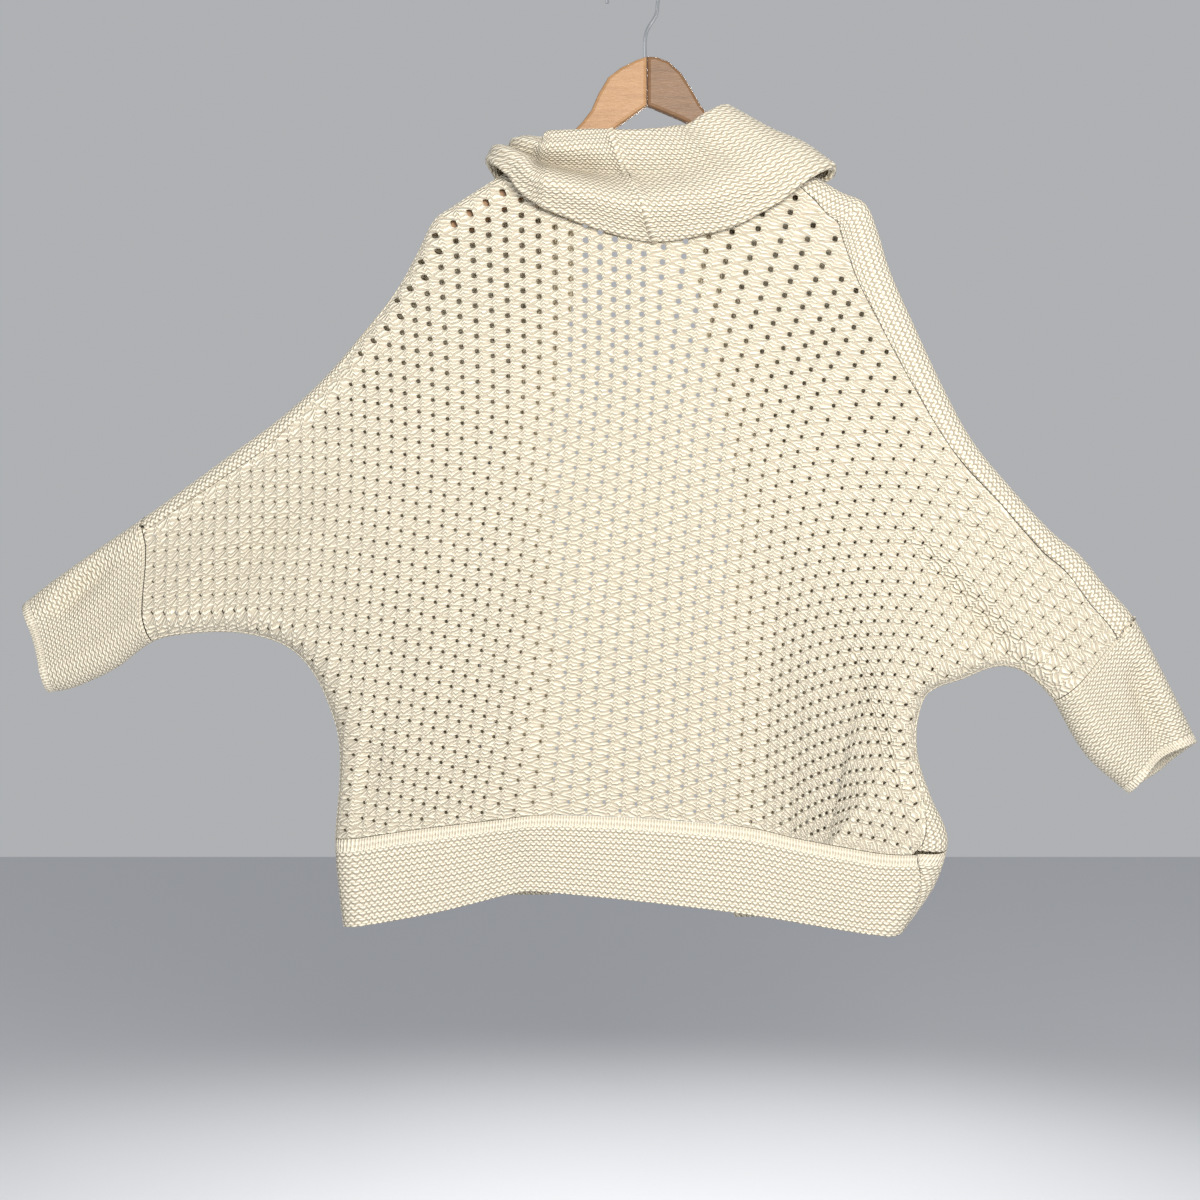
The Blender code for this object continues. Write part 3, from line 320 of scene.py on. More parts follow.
class Nodes:
    """Short calls for wiring a material."""

    def __init__(self, name):
        self.material = bpy.data.materials.new(name)
        self.material.use_nodes = True
        self.tree = self.material.node_tree
        self.shader = self.tree.nodes["Principled BSDF"]

    def add(self, kind, **values):
        node = self.tree.nodes.new(kind)
        for key, value in values.items():
            setattr(node, key, value)
        return node

    def wire(self, value, socket):
        if isinstance(value, bpy.types.NodeSocket):
            self.tree.links.new(value, socket)
        else:
            socket.default_value = value

    def math(self, operation, *values):
        node = self.add("ShaderNodeMath", operation=operation)
        for value, socket in zip(values, node.inputs):
            self.wire(value, socket)
        return node.outputs[0]

    def mixColour(self, factor, first, second):
        node = self.add("ShaderNodeMix", data_type="RGBA")
        self.wire(factor, node.inputs[0])
        for value, socket in ((first, node.inputs[6]), (second, node.inputs[7])):
            self.wire(value if isinstance(value, bpy.types.NodeSocket) else (*value, 1), socket)
        return node.outputs[2]

    def noise(self, scale, detail=2.0, vector=None):
        node = self.add("ShaderNodeTexNoise")
        node.inputs["Scale"].default_value = scale
        node.inputs["Detail"].default_value = detail
        if vector is not None:
            self.wire(vector, node.inputs["Vector"])
        return node.outputs["Fac"]


    def wave(self, phase):
        """A smooth wave from 0 to 1."""
        return self.math("ADD", 0.5, self.math("MULTIPLY", 0.5, self.math("COSINE", phase)))

    def knit(self, strand, uv, bumpDepth, gapShade, twist):
        """Colour and relief of yarn whose strands stand at 1 and whose gaps lie at 0. The colour has painted shade:
        darker in the gaps, and darker where the shade attribute is low.
        """
        # painted shade from the mesh: the shade attribute darkens hollows, eyelet rims and creases
        cavityShade = self.add("ShaderNodeAttribute", attribute_name="shade").outputs["Fac"]
        fibre = self.noise(twist, 3.0, uv)
        # painted shade between the strands: the gaps are darkened by gapShade
        lightness = self.math("ADD", 1.0 - gapShade, self.math("MULTIPLY", strand, gapShade))
        lightness = self.math("MULTIPLY", lightness, self.math("ADD", 0.80, self.math("MULTIPLY", fibre, 0.4)))
        lightness = self.math("MULTIPLY", lightness, cavityShade)
        colour = self.mixColour(lightness, yarn["shadedYarn"], yarn["light"])
        patch = self.noise(7.0, 3.0, self.add("ShaderNodeTexCoord").outputs["Object"])
        warm = self.mixColour(0.5, colour, (0.86, 0.72, 0.55))
        self.wire(self.mixColour(self.math("MULTIPLY", patch, 0.22), colour, warm), self.shader.inputs["Base Color"])
        relief = self.add("ShaderNodeBump")
        relief.inputs["Strength"].default_value = 1.0
        relief.inputs["Distance"].default_value = bumpDepth
        self.wire(self.math("ADD", strand, self.math("MULTIPLY", fibre, 0.4)), relief.inputs["Height"])
        self.wire(relief.outputs[0], self.shader.inputs["Normal"])
        self.shader.inputs["Roughness"].default_value = yarn["roughness"]
        self.shader.inputs["Sheen Weight"].default_value = yarn["sheen"]
        self.shader.inputs["Specular IOR Level"].default_value = 0.25
        return self.material

    def stitchPlace(self):
        uv = self.add("ShaderNodeUVMap", uv_map="stitches").outputs[0]
        parts = self.add("ShaderNodeSeparateXYZ")
        self.wire(uv, parts.inputs[0])
        return uv, parts.outputs[0], parts.outputs[1]


def purlMaterial(name, bumpDepth, arch):
    """Purl bumps: one unit of the UV map is one stitch wide and one row high."""
    n = Nodes(name)
    uv, u, v = n.stitchPlace()
    wobble = n.math("SUBTRACT", n.noise(0.9, 1.0, uv), 0.5)
    u = n.math("ADD", u, n.math("MULTIPLY", wobble, 0.35))
    v = n.math("ADD", v, n.math("MULTIPLY", wobble, 0.25))

    def bump(shift, bend):
        x = n.math("SUBTRACT", n.math("FRACT", n.math("ADD", u, shift)), 0.5)
        xx = n.math("MULTIPLY", x, x)
        row = n.math("ADD", n.math("ADD", v, shift), n.math("MULTIPLY", xx, bend))
        y = n.math("SUBTRACT", n.math("FRACT", row), 0.5)
        spread = n.math("ADD", n.math("MULTIPLY", xx, 3.4), n.math("MULTIPLY", n.math("MULTIPLY", y, y), 10.5))
        return n.math("SUBTRACT", 1.0, spread)

    strand = n.math("MAXIMUM", n.math("MAXIMUM", bump(0.0, arch), bump(0.5, -arch)), 0.0)
    return n.knit(strand, uv, bumpDepth, 0.86, 3.0)


def ribMaterial(name):
    """Upright stitches of a picked-up row."""
    n = Nodes(name)
    uv, u, v = n.stitchPlace()
    side = n.math("ABSOLUTE", n.math("SUBTRACT", n.math("FRACT", u), 0.5))
    legs = n.wave(n.math("ADD", n.math("MULTIPLY", u, 12.566), n.math("MULTIPLY", v, 0.8)))
    steps = n.wave(n.math("ADD", n.math("MULTIPLY", v, 6.283), n.math("MULTIPLY", side, 5.0)))
    return n.knit(n.math("ADD", n.math("MULTIPLY", legs, 0.65), n.math("MULTIPLY", steps, 0.35)), uv, 0.0016, 0.72, 3.0)


def openworkMaterial(name):
    """Strands that fan out of each eyelet over a pebble, and a chain of slanting stitches beside it."""
    n = Nodes(name)
    uv, u, v = n.stitchPlace()
    warp = n.math("SUBTRACT", n.noise(2.2, 2.0, uv), 0.5)
    inColumn = n.math("FRACT", u)
    fromEye = n.math("SUBTRACT", n.math("FRACT", n.math("ADD", v, 0.5 - lace["eyelet"][1] / lace["sub"])), 0.5)
    spread = n.math("ADD", 20.0, n.math("MULTIPLY", inColumn, 9.0))
    arc = n.math("MULTIPLY", n.math("MULTIPLY", inColumn, inColumn), 5.0)
    strands = n.math("ADD", n.math("MULTIPLY", n.math("ABSOLUTE", fromEye), spread), arc)
    strands = n.wave(n.math("ADD", strands, n.math("MULTIPLY", warp, 7.0)))
    toChain = n.math("ABSOLUTE", n.math("SUBTRACT", n.math("FRACT", n.math("ADD", u, 0.5)), 0.5))
    chain = n.math("ADD", n.math("MULTIPLY", v, 25.133), n.math("MULTIPLY", toChain, 20.0))
    chain = n.wave(n.math("ADD", chain, n.math("MULTIPLY", warp, 3.0)))
    outside = n.math("MULTIPLY", n.math("SUBTRACT", toChain, 0.12), 16.0)
    outside = n.math("MINIMUM", n.math("MAXIMUM", outside, 0.0), 1.0)
    strand = n.math("MULTIPLY", strands, outside)
    strand = n.math("ADD", strand, n.math("MULTIPLY", chain, n.math("SUBTRACT", 1.0, outside)))
    return n.knit(strand, uv, 0.0017, 0.66, 7.0)


lace = {
    "columnWidth": 0.0143,
    "rowHeight": 0.0151,
    "pebble": 0.0012,
    "chain": 0.0010,
    "sub": 8,
    "eyelet": (6, 3),
    "start": (0.0, -0.520),
}
laceKnit = openworkMaterial("openworkKnit")
purlKnit = purlMaterial("purlKnit", 0.0019, 0.8)
ribKnit = ribMaterial("pickedUpRow")


def woodMaterial(name, light, dark, turn):
    n = Nodes(name)
    place = n.add("ShaderNodeTexCoord")
    mapping = n.add("ShaderNodeMapping")
    mapping.inputs["Rotation"].default_value = (0, turn, 0)
    mapping.inputs["Scale"].default_value = (6, 30, 60)
    n.wire(place.outputs["Object"], mapping.inputs[0])
    grain = n.noise(4.0, 6.0, mapping.outputs[0])
    fine = n.noise(22.0, 4.0, mapping.outputs[0])
    blendIn = n.math("ADD", n.math("MULTIPLY", grain, 0.8), n.math("MULTIPLY", fine, 0.35))
    colour = n.mixColour(blendIn, light, dark)
    n.wire(colour, n.shader.inputs["Base Color"])
    n.wire(n.math("ADD", 0.36, n.math("MULTIPLY", fine, 0.2)), n.shader.inputs["Roughness"])
    relief = n.add("ShaderNodeBump")
    relief.inputs["Distance"].default_value = 0.0003
    n.wire(fine, relief.inputs["Height"])
    n.wire(relief.outputs[0], n.shader.inputs["Normal"])
    return n.material


def steelMaterial():
    n = Nodes("hookSteel")
    n.shader.inputs["Base Color"].default_value = (0.62, 0.63, 0.65, 1)
    n.shader.inputs["Metallic"].default_value = 1.0
    smear = n.noise(90.0, 3.0, n.add("ShaderNodeTexCoord").outputs["Object"])
    n.wire(n.math("ADD", 0.16, n.math("MULTIPLY", smear, 0.2)), n.shader.inputs["Roughness"])
    return n.material


hanger = {
    "hanger_arm_left": woodMaterial("woodLight", (0.46, 0.27, 0.13), (0.25, 0.12, 0.045), 0.6),
    "hanger_arm_right": woodMaterial("woodDark", (0.24, 0.125, 0.055), (0.11, 0.052, 0.02), -0.6),
    "hanger_hook": steelMaterial(),
}
for node, finish in hanger.items():
    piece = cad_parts[node]
    piece.data.materials.clear()
    piece.data.materials.append(finish)
print("finishes ready")


sheets = []


def makeMesh(name, points, faces, stitches, shade, material, thick=0.0):
    """A cloth piece from points, quads, a stitch position and a shade for each point."""
    mesh = bpy.data.meshes.new(name)
    mesh.vertices.add(len(points))
    mesh.vertices.foreach_set("co", np.asarray(points, np.float32).ravel())
    mesh.loops.add(faces.size)
    mesh.loops.foreach_set("vertex_index", faces.ravel().astype(np.int32))
    mesh.polygons.add(len(faces))
    mesh.polygons.foreach_set("loop_start", np.arange(0, faces.size, 4, dtype=np.int32))
    mesh.update(calc_edges=True)
    layer = mesh.uv_layers.new(name="stitches")
    if stitches.ndim == 2:
        stitches = stitches[faces]
    layer.data.foreach_set("uv", stitches.astype(np.float32).ravel())
    attribute = mesh.attributes.new("shade", "FLOAT", "POINT")
    attribute.data.foreach_set("value", shade.astype(np.float32))
    mesh.shade_smooth()
    mesh.materials.append(material)
    piece = bpy.data.objects.new(name, mesh)
    bpy.context.scene.collection.objects.link(piece)
    if thick:
        solid = piece.modifiers.new("thickness", "SOLIDIFY")
        solid.thickness = thick
        solid.offset = -1.0
    return piece


def declare(piece, node, width, length, area):
    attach(piece, "root")
    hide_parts(node)
    sheets.append((piece, width, length, area))


def gridSize(points):
    """Length, width and area of a knitted strip laid flat."""
    steps = [np.linalg.norm(np.diff(points, axis=k), axis=2).sum(k) for k in (0, 1)]
    crossed = np.cross(points[1:, 1:] - points[:-1, :-1], points[1:, :-1] - points[:-1, 1:])
    area = 0.5 * np.linalg.norm(crossed, axis=2).sum()
    length, width = float(max(s.max() for s in steps)), float(min(s.max() for s in steps))
    if area < 0.4 * length * width:
        width = 2 * area / length
    return length, max(width, 0.01, 1.05 * area / length), float(area)


def vertexNormals(points, faces):
    a, b, c, d = (points[faces[:, k]] for k in range(4))
    flat = np.cross(c - a, d - b)
    normals = np.zeros_like(points)
    for k in range(4):
        np.add.at(normals, faces[:, k], flat)
    return normals / np.maximum(np.linalg.norm(normals, axis=1), 1e-12)[:, None]


def gridFaces(rows, columns):
    k = np.arange(rows * columns).reshape(rows, columns)
    return np.stack([k[:-1, :-1], k[:-1, 1:], k[1:, 1:], k[1:, :-1]], axis=-1).reshape(-1, 4)


# ---- openwork: columns of pebbles and eyelets, each column half a repeat lower than the last
def laceField():
    """Where each column and row of the openwork lies in the flat plane."""
    sub = lace["sub"]
    s = np.arange(-50 * sub, 52 * sub + 1) / sub
    t = np.arange(-30 * sub, 34 * sub + 1) / sub
    wide = lace["columnWidth"] / sub
    tall = lace["rowHeight"] / sub
    reach = s * lace["columnWidth"]
    # slope of the row at chest height, and tilt of the columns there, at the top and at the hem
    fall = np.radians(np.interp(reach, [-.62, -.42, -.30, -.18, -.05, .05, .15, .25, .34, .46, .7],
                                [-34, -34, -26, -14, -2, 7, 13, 26, 42, 50, 54]))
    chest = np.radians(np.interp(reach, [-.62, -.40, -.20, -.08, .05, .15, .22, .33, .46, .7],
                                 [2, 3, 4, 8, 4, 6, 22, 42, 50, 52]))
    top = np.radians(np.interp(reach, [-.62, -.40, -.20, -.08, 0, .06, .13, .22, .33, .46, .7],
                               [2, 0, -4, 0, 2, 14, 30, 34, 44, 50, 52]))
    low = np.radians(np.interp(reach, [-.62, -.40, -.28, -.10, 0, .20, .30, .40, .7],
                               [2, 3, 5, 9, 4, 3, 10, 36, 52]))
    spineX = np.cumsum(np.cos(fall) * wide)
    spineZ = np.cumsum(-np.abs(np.sin(fall)) * np.sign(s + 1e-9) * wide)
    zero = np.argmin(np.abs(s))
    spineX += lace["start"][0] - spineX[zero]
    spineZ += lace["start"][1] - spineZ[zero]
    up = ease(t[None, :] / 13)
    down = ease(-t[None, :] / 13)
    tilt = chest[:, None] + (top - chest)[:, None] * up + (low - chest)[:, None] * down
    stepX, stepZ = np.sin(tilt) * tall, np.cos(tilt) * tall
    level = np.argmin(np.abs(t))
    x = np.cumsum(stepX, axis=1)
    z = np.cumsum(stepZ, axis=1)
    x += spineX[:, None] - x[:, level:level + 1]
    z += spineZ[:, None] - z[:, level:level + 1]
    return s, t, np.stack([x, z], axis=-1)


def holeSize(flat):
    """How wide and how tall the eyelets stand: open at the shoulders, slits on the sleeves."""
    x, z = flat[:, 0], flat[:, 1]
    high = ease((z + 0.52) / 0.27)
    sleeve = ease((np.abs(x - 0.01) - 0.20 - 0.05 * high) / 0.16)
    wide = (0.0015 + 0.0014 * high) * (1 - 0.60 * sleeve)
    tall = (0.0018 + 0.0011 * high) * (1 - 0.15 * sleeve)
    return wide, tall


def makeLace(side, bounds, halves, node):
    """An openwork panel in two halves. bounds gives signed distances and directions to its edges."""
    s, t, flat = laceField()
    sub = lace["sub"]
    rows, cols = flat.shape[:2]
    flat = flat.reshape(-1, 2)
    si, ti = np.divmod(np.arange(rows * cols), cols)
    column = np.floor(s[si] + 1e-6).astype(int)
    inColumn = np.round((s[si] - column) * sub).astype(int)
    inRow = (np.round(t[ti] * sub).astype(int) + (column % 2) * (sub // 2)) % sub
    near = np.abs(flat - np.array([-0.02, -0.50])) < np.array([0.64, 0.50])
    alive = near.all(1)
    signed = np.full(len(flat), -1.0)
    ways = np.zeros_like(flat)
    signed[alive], ways[alive] = bounds(flat[alive])
    faces = gridFaces(rows, cols)
    faces = faces[(signed[faces].mean(1) > 0) & (signed[faces].min(1) > -0.01)]
    # the edge of the kept faces is drawn onto the seam
    pairs = np.sort(np.stack([faces, np.roll(faces, -1, axis=1)], axis=-1).reshape(-1, 2), axis=1)
    pairs, counts = np.unique(pairs[:, 0] * len(flat) + pairs[:, 1], return_counts=True)
    rim = np.unique(np.concatenate([pairs[counts == 1] // len(flat), pairs[counts == 1] % len(flat)]))
    drawn = flat[rim]
    for _ in range(2):
        away, inward = bounds(drawn)
        drawn = drawn - inward * away[:, None]
    nearby = np.linalg.norm(drawn - flat[rim], axis=1) < 0.008
    flat[rim[nearby]] = drawn[nearby]
    signed[rim] = 0
    # eyelets: the faces round a point go, and the ring they leave becomes oval
    wide, tall = holeSize(flat)
    eyeColumn, eyeRow = lace["eyelet"]
    isEye = (inColumn == eyeColumn) & (inRow == eyeRow) & (signed > 0.0055)
    eyes = np.nonzero(isEye)[0]
    across = flat[eyes + cols] - flat[eyes - cols]
    across = across / np.linalg.norm(across, axis=1)[:, None]
    along = np.stack([-across[:, 1], across[:, 0]], axis=1)
    for dr, dc in ((-1, -1), (-1, 0), (-1, 1), (0, 1), (1, 1), (1, 0), (1, -1), (0, -1)):
        target = eyes + dr * cols + dc
        slant = 0.80 if dr and dc else 1.0
        flat[target] = (flat[eyes] + across * (dr * slant * wide[eyes])[:, None]
                        + along * (dc * slant * tall[eyes])[:, None])
    faces = faces[~isEye[faces].any(1)]
    used = np.unique(faces)
    renumber = np.full(len(flat), -1)
    renumber[used] = np.arange(len(used))
    faceColumn = np.floor(s[si[faces]].mean(1)).astype(int)
    stitches = np.stack([s[si[faces]], t[ti[faces]] + 0.5 * (faceColumn % 2)[:, None]], axis=-1)
    faces = renumber[faces]
    points = cloth(flat[used], np.full(len(used), side))
    normals = vertexNormals(points, faces)
    if np.median(normals[:, 1]) * side < 0:
        faces, stitches, normals = faces[:, ::-1], stitches[:, ::-1], -normals
    # relief inside each repeat: pebbles left of the eyelet, a twisted chain right of it
    cx, cy = inColumn[used] / sub, inRow[used] / sub
    down = (cy - eyeRow / sub + 0.5) % 1 - 0.5
    between = (cy - eyeRow / sub) % 1 - 0.5
    pebble = np.sqrt(np.clip(1 - ((cx - 0.38) / 0.34) ** 2 - (down / 0.30) ** 2, 0, 1))
    bridge = np.exp(-(((cx - 0.72) / 0.20) ** 2) - (between / 0.27) ** 2)
    toChain = (cx + 0.5) % 1 - 0.5
    chain = np.exp(-((toChain / 0.13) ** 2)) * (0.75 + 0.25 * np.cos(4 * np.pi * cy))
    toEye = np.hypot(cx - eyeColumn / sub, down)
    pit = np.exp(-((toEye / 0.18) ** 2))
    fade = np.clip(signed[used] / 0.006, 0, 1)
    relief = lace["pebble"] * pebble + 0.75 * lace["pebble"] * bridge + lace["chain"] * chain
    relief -= 0.0005 * pit
    points = points + normals * (relief * fade - 0.0004)[:, None]
    # painted shade: lighter on the tops of pebble, bridge and chain, darker in the dips between them and round each
    # eyelet's rim, and a flat 0.88 along the panel's edges
    shade = 0.74 + 0.26 * np.clip(pebble + 0.9 * bridge + 0.9 * chain, 0, 1) - 0.72 * pit
    shade = np.where(fade < 0.9, 0.88, np.clip(shade, 0.15, 1))
    for name, (low, high) in halves.items():
        mine = (faceColumn >= low) & (faceColumn < high)
        kept = np.unique(faces[mine])
        place = np.full(len(points), -1)
        place[kept] = np.arange(len(kept))
        piece = makeMesh(name, points[kept], place[faces[mine]], stitches[mine], shade[kept], laceKnit)
        cut = flat[used][kept]
        corners = flat[used][faces[mine]]
        crossed = np.cross(corners[:, 2] - corners[:, 0], corners[:, 3] - corners[:, 1])
        width, length = cut.max(0) - cut.min(0)
        declare(piece, node, float(width), float(length), float(0.5 * np.abs(crossed).sum()))
        print(name, 2 * mine.sum(), "triangles")


def nearestOf(flat, *measures):
    """The closest of several edges: each measure gives distance and direction."""
    best = np.full(len(flat), 9.0)
    ways = np.zeros_like(flat)
    for distance, way in measures:
        closer = distance < best
        best = np.where(closer, distance, best)
        ways[closer] = way[closer]
    return best, ways


def trackMeasure(track, flat, gap=seamHalf):
    index, foot, inward, signed = track.nearest(flat)
    return signed - gap, inward


def outlineMeasure(flat):
    index, foot, inward, signed = outline.nearest(flat)
    return signed, inward


def backBounds(flat):
    neck, neckWay = trackMeasure(tracks["neck"], flat)
    neck = np.where(np.abs(flat[:, 0]) > 0.15, 9.0, neck)
    measures = [(neck, neckWay), outlineMeasure(flat), trackMeasure(tracks["bandTop"], flat)]
    for name in ("cuffLeft", "cuffRight", "topLeft", "topRight", "lowLeft", "lowRight"):
        track = tracks[name]
        index, foot, inward, signed = track.nearest(flat)
        atEnd = (index == 0) | (index == len(track.line) - 1)
        measures.append((np.where(atEnd, 9.0, signed - seamHalf), inward))
    return nearestOf(flat, *measures)


def frontBounds(name):
    def measure(flat):
        line = "frontLeft" if name == "left" else "frontRight"
        cuff = "cuffLeft" if name == "left" else "cuffRight"
        index, foot, inward, signed = tracks[cuff].nearest(flat)
        atEnd = (index == 0) | (index == len(tracks[cuff].line) - 1)
        cuffSide = (np.where(atEnd, 9.0, signed - seamHalf), inward)
        return nearestOf(flat, outlineMeasure(flat), trackMeasure(tracks[line], flat),
                         trackMeasure(tracks["bandTop"], flat), cuffSide)
    return measure


makeLace(back, backBounds, {"backLaceLeft": (-60, 0), "backLaceRight": (0, 60)}, "back_panel")
makeLace(front, frontBounds("left"), {"frontLaceLeft": (-60, 60)}, "front_left")
makeLace(front, frontBounds("right"), {"frontLaceRight": (-60, 60)}, "front_right")
print("openwork ready")


def finishPurl(name, points, stitches, node, ribRows=(0, 0), turn=True, shade=None):
    """A plain purl piece from a grid of points and stitch positions."""
    if turn:
        points, stitches = facedOut(points, stitches)
    rows, columns = points.shape[:2]
    faces = gridFaces(rows, columns)
    flatPoints = points.reshape(-1, 3)
    shade = np.ones(rows * columns) if shade is None else shade.ravel()
    piece = makeMesh(name, flatPoints, faces, stitches.reshape(-1, 2), shade, purlKnit, garment["wall"])
    row = np.repeat(np.arange(rows - 1), columns - 1)
    ribbed = ((row < ribRows[0]) | (row >= rows - 1 - ribRows[1])).astype(np.int32)
    if ribbed.any():
        piece.data.materials.append(ribKnit)
        piece.data.polygons.foreach_set("material_index", ribbed)
    declare(piece, node, *gridSize(points))
    return piece


def facedOut(points, stitches):
    """The grid turned so that its faces look away from the garment's middle plane."""
    normals = np.cross(points[1:, 1:] - points[:-1, :-1], points[1:, :-1] - points[:-1, 1:])
    centres = points[:-1, :-1]
    if (normals[..., 1] * np.sign(centres[..., 1])).sum() < 0:
        return points[:, ::-1], stitches[:, ::-1]
    return points, stitches


# ---- the narrow stretches of the fronts that reach over the outline to their seams on the back
def makeStrip(name, plan, node):
    feet, toward, drop = seamPlans[plan]
    columns = max(4, int(drop.max() / 0.0022))
    across = np.linspace(0, 1, columns)
    flat = feet[:, None] + toward[:, None] * (drop[:, None] - seamHalf)[..., None] * across[None, :, None]
    # what lies past the cuff seam is drawn back onto it
    spots = flat.reshape(-1, 2)
    index, foot, inward, signed = tracks["cuff" + name.partition("Strip")[2]].nearest(spots)
    past = (signed < seamHalf) & (signed > -0.02) & (np.linalg.norm(spots - foot, axis=1) < 0.02)
    flat = (spots - (past * (signed - seamHalf))[:, None] * inward).reshape(flat.shape)
    points = cloth(flat.reshape(-1, 2), np.full(flat.shape[0] * columns, back)).reshape(len(feet), columns, 3)
    along = wayAlong(feet) / band["stitchWidth"]
    stitches = np.stack([np.broadcast_to(along[:, None], (len(feet), columns)),
                         (drop[:, None] * across[None]) / band["rowHeight"]], axis=-1)
    finishPurl(name, points, stitches, node)


# ---- hem bands
band = {"rows": 31, "stitchWidth": 0.0056, "rowHeight": 0.0052, "ribRow": 0.009}


sideBand = {
    "left": {"line": "sideLeft", "top": (-.297, -.862), "hem": (-.289, -.949), "drops": (.001, .002), "frontX": -.1544},
    "right": {"line": "sideRight", "top": (.314, -.872), "hem": (.272, -.952), "drops": (.034, .002), "frontX": .1774},
}


def bandHeight(x, share):
    top = np.interp(x, lines["bandTop"][:, 0], lines["bandTop"][:, 1]) - seamHalf
    return top + (np.interp(x, lines["hem"][:, 0], lines["hem"][:, 1]) - top) * share


def bandSide(name, share):
    """Foot on the outline and seam point at a share of the band's depth."""
    plan = sideBand[name]
    line = lines[plan["line"]]
    begin, finish = wayTo(line, plan["top"]), wayTo(line, plan["hem"])
    length = begin + (finish - begin) * share
    foot = atLength(line, length)
    inward = steadyInward(line)
    way = wayAlong(line)
    toward = np.array([np.interp(length, way, inward[:, k]) for k in (0, 1)])
    drop = plan["drops"][0] + (plan["drops"][1] - plan["drops"][0]) * share
    return foot, foot + toward * flatDrop(drop)


def bandStitches(flat, share):
    depth = 0.076 * share / band["rowHeight"]
    return np.stack([flat[:, 0] / band["stitchWidth"], np.full(len(flat), depth)], axis=1)


def makeBackBand():
    grid, stitches = [], []
    for share in np.linspace(0, 1, band["rows"]):
        x = np.linspace(bandSide("left", share)[1][0] + seamHalf, bandSide("right", share)[1][0] - seamHalf, 210)
        flat = np.stack([x, bandHeight(x, share)], axis=1)
        grid.append(cloth(flat, np.full(len(flat), back)))
        stitches.append(bandStitches(flat, share))
    return finishPurl("hemBandBack", np.array(grid), np.array(stitches), "hem_back", (4, 0))


def makeFrontBand(name, columns):
    """From the front edge round the outline to the side seam on the back."""
    grid, stitches = [], []
    for share in np.linspace(0, 1, band["rows"]):
        foot, seam = bandSide(name, share)
        x = np.linspace(sideBand[name]["frontX"], foot[0], columns)
        flat = np.stack([x, bandHeight(x, share)], axis=1)
        flat[-1] = foot
        wrap = foot + (seam - foot) * np.linspace(0, 1, 13)[1:, None]
        wrap[:, 1] = wrap[:, 1] + (bandHeight(wrap[:, 0], share) - wrap[:, 1]) * 0.8
        side = np.concatenate([np.full(columns, front), np.full(len(wrap), back)])
        whole = np.vstack([flat, wrap])
        grid.append(cloth(whole, side))
        around = wayAlong(whole)
        stitches.append(np.stack([around / band["stitchWidth"], bandStitches(whole, share)[:, 1]], axis=1))
    return finishPurl("hemBandFront" + name.capitalize(), np.array(grid), np.array(stitches), "hem_front_" + name,
                      (4, 0))


makeStrip("shoulderStripLeft", "topLeft", "front_left")
makeStrip("sideStripLeft", "lowLeft", "front_left")
makeStrip("shoulderStripRight", "topRight", "front_right")
makeStrip("sideStripRight", "lowRight", "front_right")
makeBackBand()
makeFrontBand("left", 60)
makeFrontBand("right", 60)
print("bands ready")


# ---- cuffs
def makeCuff(name):
    """A tube from the sleeve's end to its open mouth."""
    cuff = cuffs[name]
    joint = cuffSeams[name]
    count = 46
    way = 0.5 * (0.5 - 0.5 * np.cos(np.linspace(0, math.pi, count))) + 0.5 * np.linspace(0, 1, count)
    near = atLength(joint, way * wayAlong(joint)[-1])
    way = np.concatenate([way, way[::-1][1:]])
    ring = np.vstack([near, near[::-1][1:]])
    side = np.concatenate([np.full(count, back), np.full(count - 1, front)])
    bow = ring - (near[0] + (near[-1] - near[0]) * way[:, None])
    top, low = np.array(cuff["mouthTop"]), np.array(cuff["mouthLow"])
    out = top - near[0]
    length = np.linalg.norm(out)
    out = out / length
    sag = cuff["inset"] * np.sin(math.pi * way) * np.where(side == back, 0.7, -0.3)
    shoulder, under = lines["shoulder" + name.capitalize()], lines["side" + name.capitalize()]
    around = wayAlong(ring) / band["stitchWidth"]
    grid, stitches = [], []
    for share in np.linspace(0, 1, 44):
        upper = atLength(shoulder, wayTo(shoulder, cuff["top"]) * (1 - share) + wayTo(shoulder, top) * share)
        lower = atLength(under, wayTo(under, cuff["low"]) * (1 - share) + wayTo(under, low) * share)
        place = upper + (lower - upper) * way[:, None] + bow * (1 - share)
        place += out * (0.0004 - sag[:, None] * share)
        grid.append(cloth(place, side))
        stitches.append(np.stack([around, np.full(len(ring), share * length / band["rowHeight"])], axis=1))
    return finishPurl("cuff" + name.capitalize(), np.array(grid), np.array(stitches), "cuff_" + name, (1, 3))


for name in cuffs:
    makeCuff(name)
print("cuffs ready")


